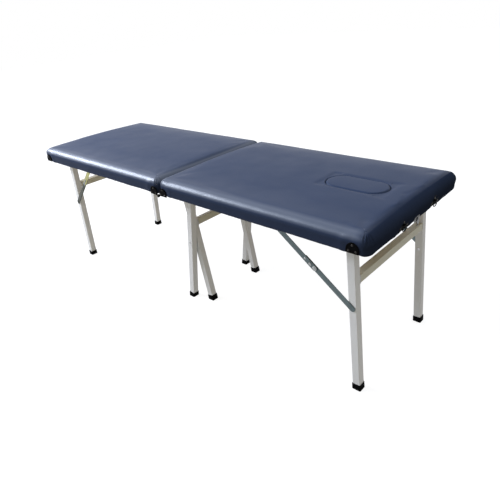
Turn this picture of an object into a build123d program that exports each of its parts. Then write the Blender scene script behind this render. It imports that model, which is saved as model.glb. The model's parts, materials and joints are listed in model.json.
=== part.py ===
"""Two-section folding massage table, millimetres, +Z up.

The origin is on the floor below the middle of the fold line. +X runs to the head end, which has
the face hole, and -Y is the near long side. Each half is a plywood deck on a wooden rim, with foam
and a vinyl cover. Each has a splayed end frame held by two folding stays, and two more frames cross
under the fold line and fold by themselves as the table closes like a case.
"""
from build123d import *
import os
from math import asin, atan2, degrees, hypot

os.makedirs("parts", exist_ok=True)

# ---- Driving dimensions ------------------------------------------------------------------------
REACH = {"head": 907.0, "foot": 930.0}    # from the fold line to each upholstered end
WIDTH = 612.0             # over the upholstered sides
FOLD_HEIGHT = 552.0       # the hinge axis, and the plane where both undersides meet when closed
SHOULDER_HEIGHT = 619.0   # cushion top along its long edges, before they are rounded
CREST_HEIGHT = 627.0      # cushion top along its middle
EDGE_RADIUS = 25.0        # rounding of the cushion's top edges
BOTTOM_RADIUS = 10.0      # rounding where the cover turns in under the rim
PLAN_RADIUS = 28.0        # rounding of each half's corners, seen from above
HALF_GAP = 0.5            # from the fold line to each half's hinge-side face

COVER_THICKNESS = 1.5     # vinyl with its backing
COVER_BOTTOM = FOLD_HEIGHT + 0.5
HEM = 20.0                # width of cover that turns in under the rim
FIT_GAP = 0.2             # air between stacked layers
RAIL_THICKNESS = 20.0     # the rim's wooden rails
DECK_BOTTOM = 588.0
DECK_THICKNESS = 6.0
DECK_TOP = DECK_BOTTOM + DECK_THICKNESS

HOLE_X = 690.0            # centre of the face hole
HOLE_LENGTH = 228.0
HOLE_WIDTH = 111.0
HOLE_LEDGE = 11.0         # how far the deck's hole is inside the cushion's hole
PLUG_CLEARANCE = 0.8

TUBE = 28.0               # square leg tube
TUBE_WALL = 1.5
TUBE_CORNER = 2.5
TUBE_BORE = TUBE - 2 * TUBE_WALL
CAP = 32.4                # square rubber foot cap
CAP_HEIGHT = 23.0
CAP_FLOOR = 5.0
LEG_ABOVE_PIVOT = 10.0

END_FOOT_X = 853.0        # end frames
END_PIVOT_X = 812.0
END_PIVOT_Z = 569.5
END_LEG_Y = 233.0
END_RAIL_Z = 420.5
END_BOLT_RADIUS = 4.0

OUTER_LEG_Y = 180.2       # centre frames: the outer one hangs from the head half
INNER_LEG_Y = 147.6
CENTRE_FOOT_X = 48.0
CENTRE_PIVOT_X = 44.6
CENTRE_PIVOT_Z = 568.0
CROSS_BOLT_Z = 294.4
INNER_RAIL_Z = 370.0
AXLE_RADIUS = 5.0
AXLE_HEAD_HEIGHT = 1.4
SPREADER_RADIUS = 8.5
RUNNING_GAP = 0.06        # radial clearance where one piece turns on another

STAY_TOP_X = {"head": 501.5, "foot": 585.0}    # folding stays
STAY_TOP_Z = END_PIVOT_Z
STAY_FOOT_Z = 326.0
STAY_OVERLAP = {"head": 44.0, "foot": 32.0}    # how far the lower link runs on past the joint
STAY_WIDTH = 20.0
STAY_THICKNESS = 2.5
STAY_PIN_RADIUS = 3.0
LOWER_LINK_Y = 247.8      # inner face of each link, from the table's middle
UPPER_LINK_Y = 250.9

# Arched black plates: width, height, and how far their foot is above PLATE_BOTTOM.
HINGE_PLATE = (42.0, 33.0, 0.0)
CATCH_PLATE = (42.0, 33.0, 5.0)
END_PLATE = (60.0, 30.0, 11.0)
PLATE_STRAIGHT = 9.0      # height above its foot at which an arch starts
PLATE_THICKNESS = 2.6
PLATE_RIM = 3.0
PLATE_RECESS = 1.0
PLATE_GAP = 0.2           # air between a plate and the cover
PLATE_BOTTOM = COVER_BOTTOM + 0.5
HINGE_PLATE_X = 28.0
CATCH_PLATE_X = {"head": 857.0, "foot": 893.0}
RING_PLATE_Y = 108.0
EAR_RADIUS = 6.5
HINGE_PIN_RADIUS = 3.0
PROUD = 8.5               # how far the end fittings stand out from the end faces

BRACKET_THICKNESS = 2.5
BRACKET_LENGTH = 30.0
BRACKET_BOTTOM = 556.0
BRACKET_FLANGE = 12.0
CHEEK_GAP = 0.4           # air between a leg and a bracket's cheek
BOLT_HEAD_RADIUS = 6.5
BOLT_HEAD_HEIGHT = 3.0
HEAD_GAP = 0.1            # air under the head of a bolt that turns

HALVES = {"head": 1, "foot": -1}
SIDES = {"near": -1, "far": 1}

# ---- Worked-out places -------------------------------------------------------------------------
HALF_LENGTH = {half_name: reach - HALF_GAP for half_name, reach in REACH.items()}
LAYER_INSET = COVER_THICKNESS + FIT_GAP
END_SLOPE = (END_FOOT_X - END_PIVOT_X) / END_PIVOT_Z
STAY_FOOT_X = END_FOOT_X - END_SLOPE * STAY_FOOT_Z
FOLDED_FOOT_X = END_PIVOT_X - hypot(STAY_FOOT_X - END_PIVOT_X, END_PIVOT_Z - STAY_FOOT_Z)


def stay_length(half_name):
    """From the leg's bolt to the pin under the deck, with the stay open."""
    return hypot(STAY_FOOT_X - STAY_TOP_X[half_name], STAY_TOP_Z - STAY_FOOT_Z)


def stay_joint(half_name):
    """From the leg's bolt to the joint.

    Folded, the end frame lies flat in the rim and brings the stay's foot level with its top, so the
    joint sits where the two links then lie one over the other.
    """
    return (stay_length(half_name) - (FOLDED_FOOT_X - STAY_TOP_X[half_name])) / 2


def side_plane(side, reach):
    """Upright plane that faces out of a long side, `reach` mm from the middle."""
    return Plane(origin=(0, side * reach, 0), x_dir=(-side, 0, 0), z_dir=(0, side, 0))


def end_plane(half, reach):
    """Upright plane that faces out of an end, `reach` mm from the fold line."""
    return Plane(origin=(half * reach, 0, 0), x_dir=(0, half, 0), z_dir=(half, 0, 0))


def across(x, y, z):
    """Place for a cylinder whose axis runs across the table."""
    return Location((x, y, z), (90, 0, 0))


def leg_plane(foot_x, y, pivot_x, pivot_z, rise):
    """Plane square to a leg, `rise` mm up its centre line from the floor."""
    slope = Vector(pivot_x - foot_x, 0, pivot_z).normalized()
    return Plane(origin=Vector(foot_x, y, 0) + slope * rise, x_dir=(0, 1, 0), z_dir=slope)


def stay_point(half_name, distance):
    """X and Z of a point on the opened stay, measured up from its foot, as on the head half."""
    share = distance / stay_length(half_name)
    return (STAY_FOOT_X + (STAY_TOP_X[half_name] - STAY_FOOT_X) * share,
            STAY_FOOT_Z + (STAY_TOP_Z - STAY_FOOT_Z) * share)


# ---- Upholstered halves ------------------------------------------------------------------------
def half_middle(half_name):
    """X of the middle of a half."""
    return HALVES[half_name] * (HALF_GAP + HALF_LENGTH[half_name] / 2)


def cushion_envelope(half_name, inset, bottom, bottom_radius=0.0):
    """Crowned block with rounded corners, `inset` mm inside the cover's outer face."""
    reach = WIDTH / 2 - inset
    shoulder = SHOULDER_HEIGHT - inset
    with BuildPart() as envelope:
        with BuildSketch(Plane.YZ.offset(half_middle(half_name))):
            with BuildLine():
                Polyline((reach, shoulder), (reach, bottom), (-reach, bottom), (-reach, shoulder))
                ThreePointArc((-reach, shoulder), (0, CREST_HEIGHT - inset), (reach, shoulder))
            make_face()
        extrude(amount=HALF_LENGTH[half_name] / 2 - inset, both=True)
        fillet(envelope.edges().filter_by(Axis.Z), PLAN_RADIUS - inset)
        fillet(envelope.faces().sort_by(Axis.Z)[-1].edges(), EDGE_RADIUS - inset)
        if bottom_radius:
            fillet(envelope.faces().sort_by(Axis.Z)[0].edges(), bottom_radius)
    return envelope.part


for half_name in HALVES:
    length = HALF_LENGTH[half_name]
    middle = (half_middle(half_name), 0)
    outside = cushion_envelope(half_name, 0, COVER_BOTTOM, BOTTOM_RADIUS)
    inside = cushion_envelope(half_name, COVER_THICKNESS, COVER_BOTTOM + COVER_THICKNESS,
                              BOTTOM_RADIUS - COVER_THICKNESS)
    with BuildPart() as cover:
        add(outside)
        add(inside, mode=Mode.SUBTRACT)
        with BuildSketch(Plane.XY.offset(COVER_BOTTOM)):
            with Locations(middle):
                Rectangle(length - 2 * HEM, WIDTH - 2 * HEM)
        extrude(amount=COVER_THICKNESS, mode=Mode.SUBTRACT)
        if half_name == "head":
            with BuildSketch(Plane.XY.offset(DECK_TOP)):
                with Locations((HOLE_X, 0)):
                    SlotOverall(HOLE_LENGTH, HOLE_WIDTH)
            extrude(amount=CREST_HEIGHT - DECK_TOP + 1, mode=Mode.SUBTRACT)
    cover.part.label = f"{half_name}_cover"
    export_step(cover.part, f"parts/{half_name}_cover.step")

    block = cushion_envelope(half_name, LAYER_INSET, DECK_TOP + FIT_GAP)
    with BuildPart() as foam:
        add(block)
        if half_name == "head":
            with BuildSketch(Plane.XY.offset(DECK_TOP)):
                with Locations((HOLE_X, 0)):
                    SlotOverall(HOLE_LENGTH, HOLE_WIDTH)
            extrude(amount=CREST_HEIGHT - DECK_TOP + 1, mode=Mode.SUBTRACT)
    foam.part.label = f"{half_name}_foam"
    export_step(foam.part, f"parts/{half_name}_foam.step")

    layer_length = length - 2 * LAYER_INSET
    layer_width = WIDTH - 2 * LAYER_INSET
    with BuildPart() as deck:
        with BuildSketch(Plane.XY.offset(DECK_BOTTOM)):
            with Locations(middle):
                RectangleRounded(layer_length, layer_width, PLAN_RADIUS - LAYER_INSET)
            if half_name == "head":
                with Locations((HOLE_X, 0)):
                    SlotOverall(HOLE_LENGTH - 2 * HOLE_LEDGE, HOLE_WIDTH - 2 * HOLE_LEDGE, mode=Mode.SUBTRACT)
        extrude(amount=DECK_THICKNESS)
    deck.part.label = f"{half_name}_deck"
    export_step(deck.part, f"parts/{half_name}_deck.step")

    # The rim's rails follow the cover's rounded corners and bottom edge.
    rim_bottom = COVER_BOTTOM + LAYER_INSET
    rim_inner_width = layer_width - 2 * RAIL_THICKNESS
    rim_shape = cushion_envelope(half_name, LAYER_INSET, rim_bottom, BOTTOM_RADIUS - LAYER_INSET)
    with BuildPart() as side_rails:
        with BuildSketch(Plane.XY.offset(rim_bottom)):
            with Locations(middle):
                Rectangle(length, WIDTH)
                Rectangle(length, rim_inner_width, mode=Mode.SUBTRACT)
        extrude(amount=DECK_BOTTOM - rim_bottom)
        add(rim_shape, mode=Mode.INTERSECT)
    side_rails.part.label = f"{half_name}_side_rails"
    export_step(side_rails.part, f"parts/{half_name}_side_rails.step")

    with BuildPart() as end_rails:
        with BuildSketch(Plane.XY.offset(rim_bottom)):
            with Locations(middle):
                Rectangle(length, rim_inner_width - 2 * FIT_GAP)
                Rectangle(layer_length - 2 * RAIL_THICKNESS, rim_inner_width, mode=Mode.SUBTRACT)
        extrude(amount=DECK_BOTTOM - rim_bottom)
        add(rim_shape, mode=Mode.INTERSECT)
    end_rails.part.label = f"{half_name}_end_rails"
    export_step(end_rails.part, f"parts/{half_name}_end_rails.step")

# ---- Lift-out plug in the face hole ------------------------------------------------------------
plug_length = HOLE_LENGTH - 2 * PLUG_CLEARANCE
plug_width = HOLE_WIDTH - 2 * PLUG_CLEARANCE
PLUG_BOARD_BOTTOM = DECK_TOP + FIT_GAP
PLUG_BOARD_TOP = PLUG_BOARD_BOTTOM + DECK_THICKNESS
with BuildPart() as plug_board:
    with BuildSketch(Plane.XY.offset(PLUG_BOARD_BOTTOM)):
        with Locations((HOLE_X, 0)):
            SlotOverall(plug_length - 2 * COVER_THICKNESS, plug_width - 2 * COVER_THICKNESS)
    extrude(amount=DECK_THICKNESS)
plug_board.part.label = "plug_board"
export_step(plug_board.part, "parts/plug_board.step")

with BuildPart() as plug_pad:
    with BuildSketch(Plane.XY.offset(PLUG_BOARD_TOP)):
        with Locations((HOLE_X, 0)):
            SlotOverall(plug_length, plug_width)
    extrude(amount=CREST_HEIGHT - PLUG_BOARD_TOP)
    fillet(plug_pad.faces().sort_by(Axis.Z)[-1].edges(), 5)
plug_pad.part.label = "plug_pad"
export_step(plug_pad.part, "parts/plug_pad.step")


# ---- Brackets under each deck ------------------------------------------------------------------
def bracket_angle(x, cheek_face, away, side, pin_z, hole_radius):
    """Add one angle: a cheek beside a leg, and a flange on the deck that turns away from the leg."""
    middle_y = side * (cheek_face + away * BRACKET_THICKNESS / 2)
    flange_y = side * (cheek_face + away * (BRACKET_THICKNESS + BRACKET_FLANGE / 2))
    cheek_height = DECK_BOTTOM - BRACKET_BOTTOM
    with Locations((x, middle_y, BRACKET_BOTTOM + cheek_height / 2)):
        Box(BRACKET_LENGTH, BRACKET_THICKNESS, cheek_height)
    with Locations((x, flange_y, DECK_BOTTOM - BRACKET_THICKNESS / 2)):
        Box(BRACKET_LENGTH, BRACKET_FLANGE, BRACKET_THICKNESS)
    with Locations(across(x, middle_y, pin_z)):
        Cylinder(hole_radius, BRACKET_THICKNESS + 1, mode=Mode.SUBTRACT)


for half_name, half in HALVES.items():
    with BuildPart() as leg_brackets:
        for side in SIDES.values():
            for away in (-1, 1):
                cheek_face = END_LEG_Y + away * (TUBE / 2 + CHEEK_GAP)
                bracket_angle(half * END_PIVOT_X, cheek_face, away, side, END_PIVOT_Z,
                              END_BOLT_RADIUS + RUNNING_GAP)
    leg_brackets.part.label = f"{half_name}_leg_brackets"
    export_step(leg_brackets.part, f"parts/{half_name}_leg_brackets.step")

    centre_leg_y = OUTER_LEG_Y if half_name == "head" else INNER_LEG_Y
    with BuildPart() as centre_brackets:
        for side in SIDES.values():
            for away in (-1, 1):
                cheek_face = centre_leg_y + away * (TUBE / 2 + CHEEK_GAP)
                bracket_angle(half * CENTRE_PIVOT_X, cheek_face, away, side, CENTRE_PIVOT_Z,
                              AXLE_RADIUS + RUNNING_GAP)
    centre_brackets.part.label = f"{half_name}_centre_brackets"
    export_step(centre_brackets.part, f"parts/{half_name}_centre_brackets.step")

    # One angle outside each stay, with the pin that the upper link turns on.
    stay_top_x = half * STAY_TOP_X[half_name]
    stay_cheek = UPPER_LINK_Y + STAY_THICKNESS + CHEEK_GAP
    stay_pin_length = stay_cheek - UPPER_LINK_Y
    with BuildPart() as stay_brackets:
        for side in SIDES.values():
            bracket_angle(stay_top_x, stay_cheek, 1, side, STAY_TOP_Z, STAY_PIN_RADIUS)
            with Locations(across(stay_top_x, side * (UPPER_LINK_Y + stay_pin_length / 2), STAY_TOP_Z)):
                Cylinder(STAY_PIN_RADIUS, stay_pin_length)
            with Locations(across(stay_top_x, side * (stay_cheek + 2), STAY_TOP_Z)):
                Cylinder(STAY_PIN_RADIUS, 4)
    stay_brackets.part.label = f"{half_name}_stay_brackets"
    export_step(stay_brackets.part, f"parts/{half_name}_stay_brackets.step")

    # Bolts that the end frame swings on: a head inboard, a nut outboard.
    bolt_reach = TUBE / 2 + CHEEK_GAP + BRACKET_THICKNESS + HEAD_GAP
    with BuildPart() as leg_bolts:
        for side in SIDES.values():
            with Locations(across(half * END_PIVOT_X, side * END_LEG_Y, END_PIVOT_Z)):
                Cylinder(END_BOLT_RADIUS, 2 * (bolt_reach + BOLT_HEAD_HEIGHT))
            for away in (-1, 1):
                head_y = side * (END_LEG_Y + away * (bolt_reach + BOLT_HEAD_HEIGHT / 2))
                with Locations(across(half * END_PIVOT_X, head_y, END_PIVOT_Z)):
                    Cylinder(BOLT_HEAD_RADIUS, BOLT_HEAD_HEIGHT)
    leg_bolts.part.label = f"{half_name}_leg_bolts"
    export_step(leg_bolts.part, f"parts/{half_name}_leg_bolts.step")


# ---- Leg frames --------------------------------------------------------------------------------
def make_leg(name, foot_x, y, pivot_x, pivot_z, holes):
    """One square leg tube, with a round hole across it for each (x, z, radius)."""
    length = hypot(pivot_x - foot_x, pivot_z)
    with BuildPart() as leg:
        with BuildSketch(leg_plane(foot_x, y, pivot_x, pivot_z, CAP_FLOOR + FIT_GAP)):
            RectangleRounded(TUBE, TUBE, TUBE_CORNER)
            RectangleRounded(TUBE_BORE, TUBE_BORE, TUBE_CORNER - TUBE_WALL, mode=Mode.SUBTRACT)
        extrude(amount=length + LEG_ABOVE_PIVOT - CAP_FLOOR - FIT_GAP)
        for hole_x, hole_z, radius in holes:
            with Locations(across(hole_x, y, hole_z)):
                Cylinder(radius, TUBE + 2, mode=Mode.SUBTRACT)
    leg.part.label = name
    export_step(leg.part, f"parts/{name}.step")


def make_caps(name, foot_x, leg_y, pivot_x, pivot_z):
    """The two rubber caps of a frame, cut level with the floor."""
    with BuildPart() as caps:
        for side in SIDES.values():
            with BuildSketch(leg_plane(foot_x, side * leg_y, pivot_x, pivot_z, -CAP_FLOOR)):
                RectangleRounded(CAP, CAP, TUBE_CORNER + 1)
            extrude(amount=CAP_FLOOR + CAP_HEIGHT)
            with BuildSketch(leg_plane(foot_x, side * leg_y, pivot_x, pivot_z, CAP_FLOOR)):
                RectangleRounded(TUBE + FIT_GAP, TUBE + FIT_GAP, TUBE_CORNER)
            extrude(amount=CAP_HEIGHT, mode=Mode.SUBTRACT)
        split(bisect_by=Plane.XY, keep=Keep.TOP)
    caps.part.label = name
    export_step(caps.part, f"parts/{name}.step")


def make_cross_rail(name, foot_x, leg_y, pivot_x, pivot_z, rail_z):
    """Square tube between the two legs of a frame."""
    slope = Vector(pivot_x - foot_x, 0, pivot_z).normalized()
    rail_x = foot_x + (pivot_x - foot_x) * rail_z / pivot_z
    with BuildPart() as rail:
        with BuildSketch(Plane(origin=(rail_x, 0, rail_z), x_dir=slope, z_dir=(0, 1, 0))):
            RectangleRounded(TUBE, TUBE, TUBE_CORNER)
            RectangleRounded(TUBE_BORE, TUBE_BORE, TUBE_CORNER - TUBE_WALL, mode=Mode.SUBTRACT)
        extrude(amount=leg_y - TUBE / 2, both=True)
    rail.part.label = name
    export_step(rail.part, f"parts/{name}.step")


STAY_BOLT_RADIUS = 3.5
for half_name, half in HALVES.items():
    foot_x = half * END_FOOT_X
    pivot_x = half * END_PIVOT_X
    end_holes = [
        (pivot_x, END_PIVOT_Z, END_BOLT_RADIUS + RUNNING_GAP),
        (half * STAY_FOOT_X, STAY_FOOT_Z, STAY_BOLT_RADIUS + RUNNING_GAP),
    ]
    for side_name, side in SIDES.items():
        make_leg(f"{half_name}_leg_{side_name}", foot_x, side * END_LEG_Y, pivot_x, END_PIVOT_Z, end_holes)
    make_cross_rail(f"{half_name}_cross_rail", foot_x, END_LEG_Y, pivot_x, END_PIVOT_Z, END_RAIL_Z)
    make_caps(f"{half_name}_foot_caps", foot_x, END_LEG_Y, pivot_x, END_PIVOT_Z)

    # A bolt through each leg for the stay's foot: its end is level with the outer face.
    with BuildPart() as stay_bolts:
        for side in SIDES.values():
            with Locations(across(half * STAY_FOOT_X, side * END_LEG_Y, STAY_FOOT_Z)):
                Cylinder(STAY_BOLT_RADIUS, TUBE)
            with Locations(across(half * STAY_FOOT_X, side * (END_LEG_Y - TUBE / 2 - 1.5), STAY_FOOT_Z)):
                Cylinder(5.5, 3.0)
    stay_bolts.part.label = f"{half_name}_stay_bolts"
    export_step(stay_bolts.part, f"parts/{half_name}_stay_bolts.step")

# The outer centre frame hangs from the head half and stands beyond the fold line, and the inner
# one hangs from the foot half, so that the two cross at the cross bolts.
CENTRE_FRAMES = {"outer": (1, OUTER_LEG_Y), "inner": (-1, INNER_LEG_Y)}
for frame_name, (half, leg_y) in CENTRE_FRAMES.items():
    foot_x = -half * CENTRE_FOOT_X
    pivot_x = half * CENTRE_PIVOT_X
    centre_holes = [(pivot_x, CENTRE_PIVOT_Z, AXLE_RADIUS + RUNNING_GAP)]
    if frame_name == "outer":
        centre_holes.append((0, CROSS_BOLT_Z, END_BOLT_RADIUS + RUNNING_GAP))
    for side_name, side in SIDES.items():
        make_leg(f"{frame_name}_leg_{side_name}", foot_x, side * leg_y, pivot_x, CENTRE_PIVOT_Z, centre_holes)
    make_caps(f"{frame_name}_foot_caps", foot_x, leg_y, pivot_x, CENTRE_PIVOT_Z)

    # Axle through the brackets and both legs, with the frame's spreader tube around it.
    axle_reach = leg_y + TUBE / 2 + CHEEK_GAP + BRACKET_THICKNESS + HEAD_GAP
    with BuildPart() as axle:
        with Locations(across(pivot_x, 0, CENTRE_PIVOT_Z)):
            Cylinder(AXLE_RADIUS, 2 * (axle_reach + AXLE_HEAD_HEIGHT))
        for side in SIDES.values():
            with Locations(across(pivot_x, side * (axle_reach + AXLE_HEAD_HEIGHT / 2), CENTRE_PIVOT_Z)):
                Cylinder(AXLE_RADIUS + 1.5, AXLE_HEAD_HEIGHT)
    axle.part.label = f"{frame_name}_axle"
    export_step(axle.part, f"parts/{frame_name}_axle.step")

    spreader_reach = leg_y - TUBE / 2 - CHEEK_GAP - BRACKET_THICKNESS - CHEEK_GAP
    with BuildPart() as spreader:
        with Locations(across(pivot_x, 0, CENTRE_PIVOT_Z)):
            Cylinder(SPREADER_RADIUS, 2 * spreader_reach)
            Cylinder(AXLE_RADIUS + RUNNING_GAP, 2 * spreader_reach, mode=Mode.SUBTRACT)
    spreader.part.label = f"{frame_name}_spreader"
    export_step(spreader.part, f"parts/{frame_name}_spreader.step")

make_cross_rail("inner_cross_rail", CENTRE_FOOT_X, INNER_LEG_Y, -CENTRE_PIVOT_X, CENTRE_PIVOT_Z, INNER_RAIL_Z)

# Cross bolts: each turns in the outer leg and stops in a washer short of the inner leg.
CROSS_WASHER = 2.8
with BuildPart() as cross_bolts:
    for side in SIDES.values():
        with Locations(across(0, side * (OUTER_LEG_Y - CROSS_WASHER / 2), CROSS_BOLT_Z)):
            Cylinder(END_BOLT_RADIUS, TUBE + CROSS_WASHER)
        with Locations(across(0, side * (OUTER_LEG_Y - TUBE / 2 - CROSS_WASHER / 2), CROSS_BOLT_Z)):
            Cylinder(8.0, CROSS_WASHER)
        with Locations(across(0, side * (OUTER_LEG_Y + TUBE / 2 + 1.1), CROSS_BOLT_Z)):
            Cylinder(5.5, 2.2)
cross_bolts.part.label = "cross_bolts"
export_step(cross_bolts.part, "parts/cross_bolts.step")


# ---- Folding stays -----------------------------------------------------------------------------
def stay_plane(half_name, side, inner_y, distance):
    """Plane on a link's inner face, centred on the stay and turned along it."""
    half = HALVES[half_name]
    x, z = stay_point(half_name, distance)
    along = Vector(half * (STAY_TOP_X[half_name] - STAY_FOOT_X), 0, STAY_TOP_Z - STAY_FOOT_Z)
    return Plane(origin=(half * x, side * inner_y, z), x_dir=along, z_dir=(0, side, 0))


def stay_place(half_name, side, y, distance):
    """Place for a pin across the stay."""
    x, z = stay_point(half_name, distance)
    return across(HALVES[half_name] * x, side * y, z)


LINK_EYE_RADIUS = 5.5
for half_name in HALVES:
    joint = stay_joint(half_name)
    lower_span = joint + STAY_OVERLAP[half_name]
    with BuildPart() as lower_links:
        for side in SIDES.values():
            with BuildSketch(stay_plane(half_name, side, LOWER_LINK_Y, lower_span / 2)):
                SlotCenterToCenter(lower_span, STAY_WIDTH)
            extrude(amount=STAY_THICKNESS)
            with Locations(stay_place(half_name, side, LOWER_LINK_Y + STAY_THICKNESS / 2, joint)):
                Cylinder(STAY_PIN_RADIUS + RUNNING_GAP, STAY_THICKNESS + 1, mode=Mode.SUBTRACT)
            # Pressed eye over the leg's stay bolt.
            with Locations(stay_place(half_name, side, LOWER_LINK_Y + STAY_THICKNESS / 2, 0)):
                Cylinder(LINK_EYE_RADIUS, STAY_THICKNESS + 0.5)
    lower_links.part.label = f"{half_name}_lower_links"
    export_step(lower_links.part, f"parts/{half_name}_lower_links.step")

    upper_span = stay_length(half_name) - joint
    with BuildPart() as upper_links:
        for side in SIDES.values():
            with BuildSketch(stay_plane(half_name, side, UPPER_LINK_Y, joint + upper_span / 2)):
                SlotCenterToCenter(upper_span, STAY_WIDTH)
            extrude(amount=STAY_THICKNESS)
            for distance in (joint, joint + upper_span):
                with Locations(stay_place(half_name, side, UPPER_LINK_Y + STAY_THICKNESS / 2, distance)):
                    Cylinder(STAY_PIN_RADIUS + RUNNING_GAP, STAY_THICKNESS + 1, mode=Mode.SUBTRACT)
    upper_links.part.label = f"{half_name}_upper_links"
    export_step(upper_links.part, f"parts/{half_name}_upper_links.step")

    # Joint rivet, level with the lower link's inner face, and the locking button above it.
    rivet_head = UPPER_LINK_Y + STAY_THICKNESS
    rivet_length = rivet_head - LOWER_LINK_Y
    with BuildPart() as link_rivets:
        for side in SIDES.values():
            with Locations(stay_place(half_name, side, LOWER_LINK_Y + rivet_length / 2, joint)):
                Cylinder(STAY_PIN_RADIUS, rivet_length)
            for distance in (joint, lower_span):
                with Locations(stay_place(half_name, side, rivet_head + 0.8, distance)):
                    Cylinder(5.0, 1.6)
    link_rivets.part.label = f"{half_name}_link_rivets"
    export_step(link_rivets.part, f"parts/{half_name}_link_rivets.step")


# ---- Arched plates, hinges and screws ----------------------------------------------------------
SCREW_RADIUS = 2.0
SCREW_HEAD_RADIUS = 3.6
SCREW_HEAD_HEIGHT = 1.5
SCREW_MARGIN = 7.6
SCREW_INSET = 9.5
PLATE_REACH = WIDTH / 2 + PLATE_GAP
END_PLATE_REACH = {half_name: reach + PLATE_GAP for half_name, reach in REACH.items()}
PLATE_FLOOR = PLATE_THICKNESS - PLATE_RECESS
EAR_STEP = PLATE_THICKNESS + 0.3     # from the inner ear's back to the outer ear's back
NECK_REACH = 14.0                    # from the hinge axis to where a neck meets its plate
NECK_HEIGHT = 5.0
NECK_STEP = 6.0
RING_LUG_WIDTH = 8.0
RING_LUG_HEIGHT = 7.6
RING_LUG_Z = PLATE_BOTTOM + END_PLATE[2] + 12.5
RING_BAR_X = REACH["head"] + 5.2
RING_THICKNESS = 3.0
RING_BAR_ROOM = 2.5                  # radius of the lug's hole, where the square bar swings


def screw_spots(centre, size):
    """Three screws: one at the arch's top and two at the plate's foot."""
    width, height, rise = size
    foot = PLATE_BOTTOM + rise
    top = (centre, foot + height - SCREW_MARGIN)
    return [top] + [(centre + step * (width / 2 - SCREW_INSET), foot + SCREW_MARGIN) for step in (-1, 1)]


def arched_plate(plane, centre, size):
    """Arched plate with a raised rim and three screw holes, standing on an upright plane."""
    width, height, rise = size
    foot = PLATE_BOTTOM + rise
    outline = (0, plane, PLATE_THICKNESS, Mode.ADD)
    recess = (PLATE_RIM, plane.offset(PLATE_FLOOR), PLATE_RECESS, Mode.SUBTRACT)
    with BuildPart() as plate:
        for trim, start, depth, mode in (outline, recess):
            with BuildSketch(start):
                with Locations((centre, foot + PLATE_STRAIGHT)):
                    Ellipse(width / 2 - trim, height - PLATE_STRAIGHT - trim)
                with Locations((centre, foot + (PLATE_STRAIGHT + height) / 2)):
                    Rectangle(width, height - PLATE_STRAIGHT, mode=Mode.INTERSECT)
                with Locations((centre, foot + (PLATE_STRAIGHT + trim) / 2)):
                    Rectangle(width - 2 * trim, PLATE_STRAIGHT - trim)
            extrude(amount=depth, mode=mode)
        with BuildSketch(plane):
            with Locations(*screw_spots(centre, size)):
                Circle(SCREW_RADIUS + 0.1)
        extrude(amount=PLATE_THICKNESS, mode=Mode.SUBTRACT)
    return plate.part


def plate_screws(plane, centre, size):
    """Screws of one plate: short shanks in the plate, and pan heads in its recess."""
    with BuildPart() as screws:
        with BuildSketch(plane):
            with Locations(*screw_spots(centre, size)):
                Circle(SCREW_RADIUS)
        extrude(amount=PLATE_FLOOR)
        with BuildSketch(plane.offset(PLATE_FLOOR)):
            with Locations(*screw_spots(centre, size)):
                Circle(SCREW_HEAD_RADIUS)
        extrude(amount=SCREW_HEAD_HEIGHT)
    return screws.part


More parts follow.
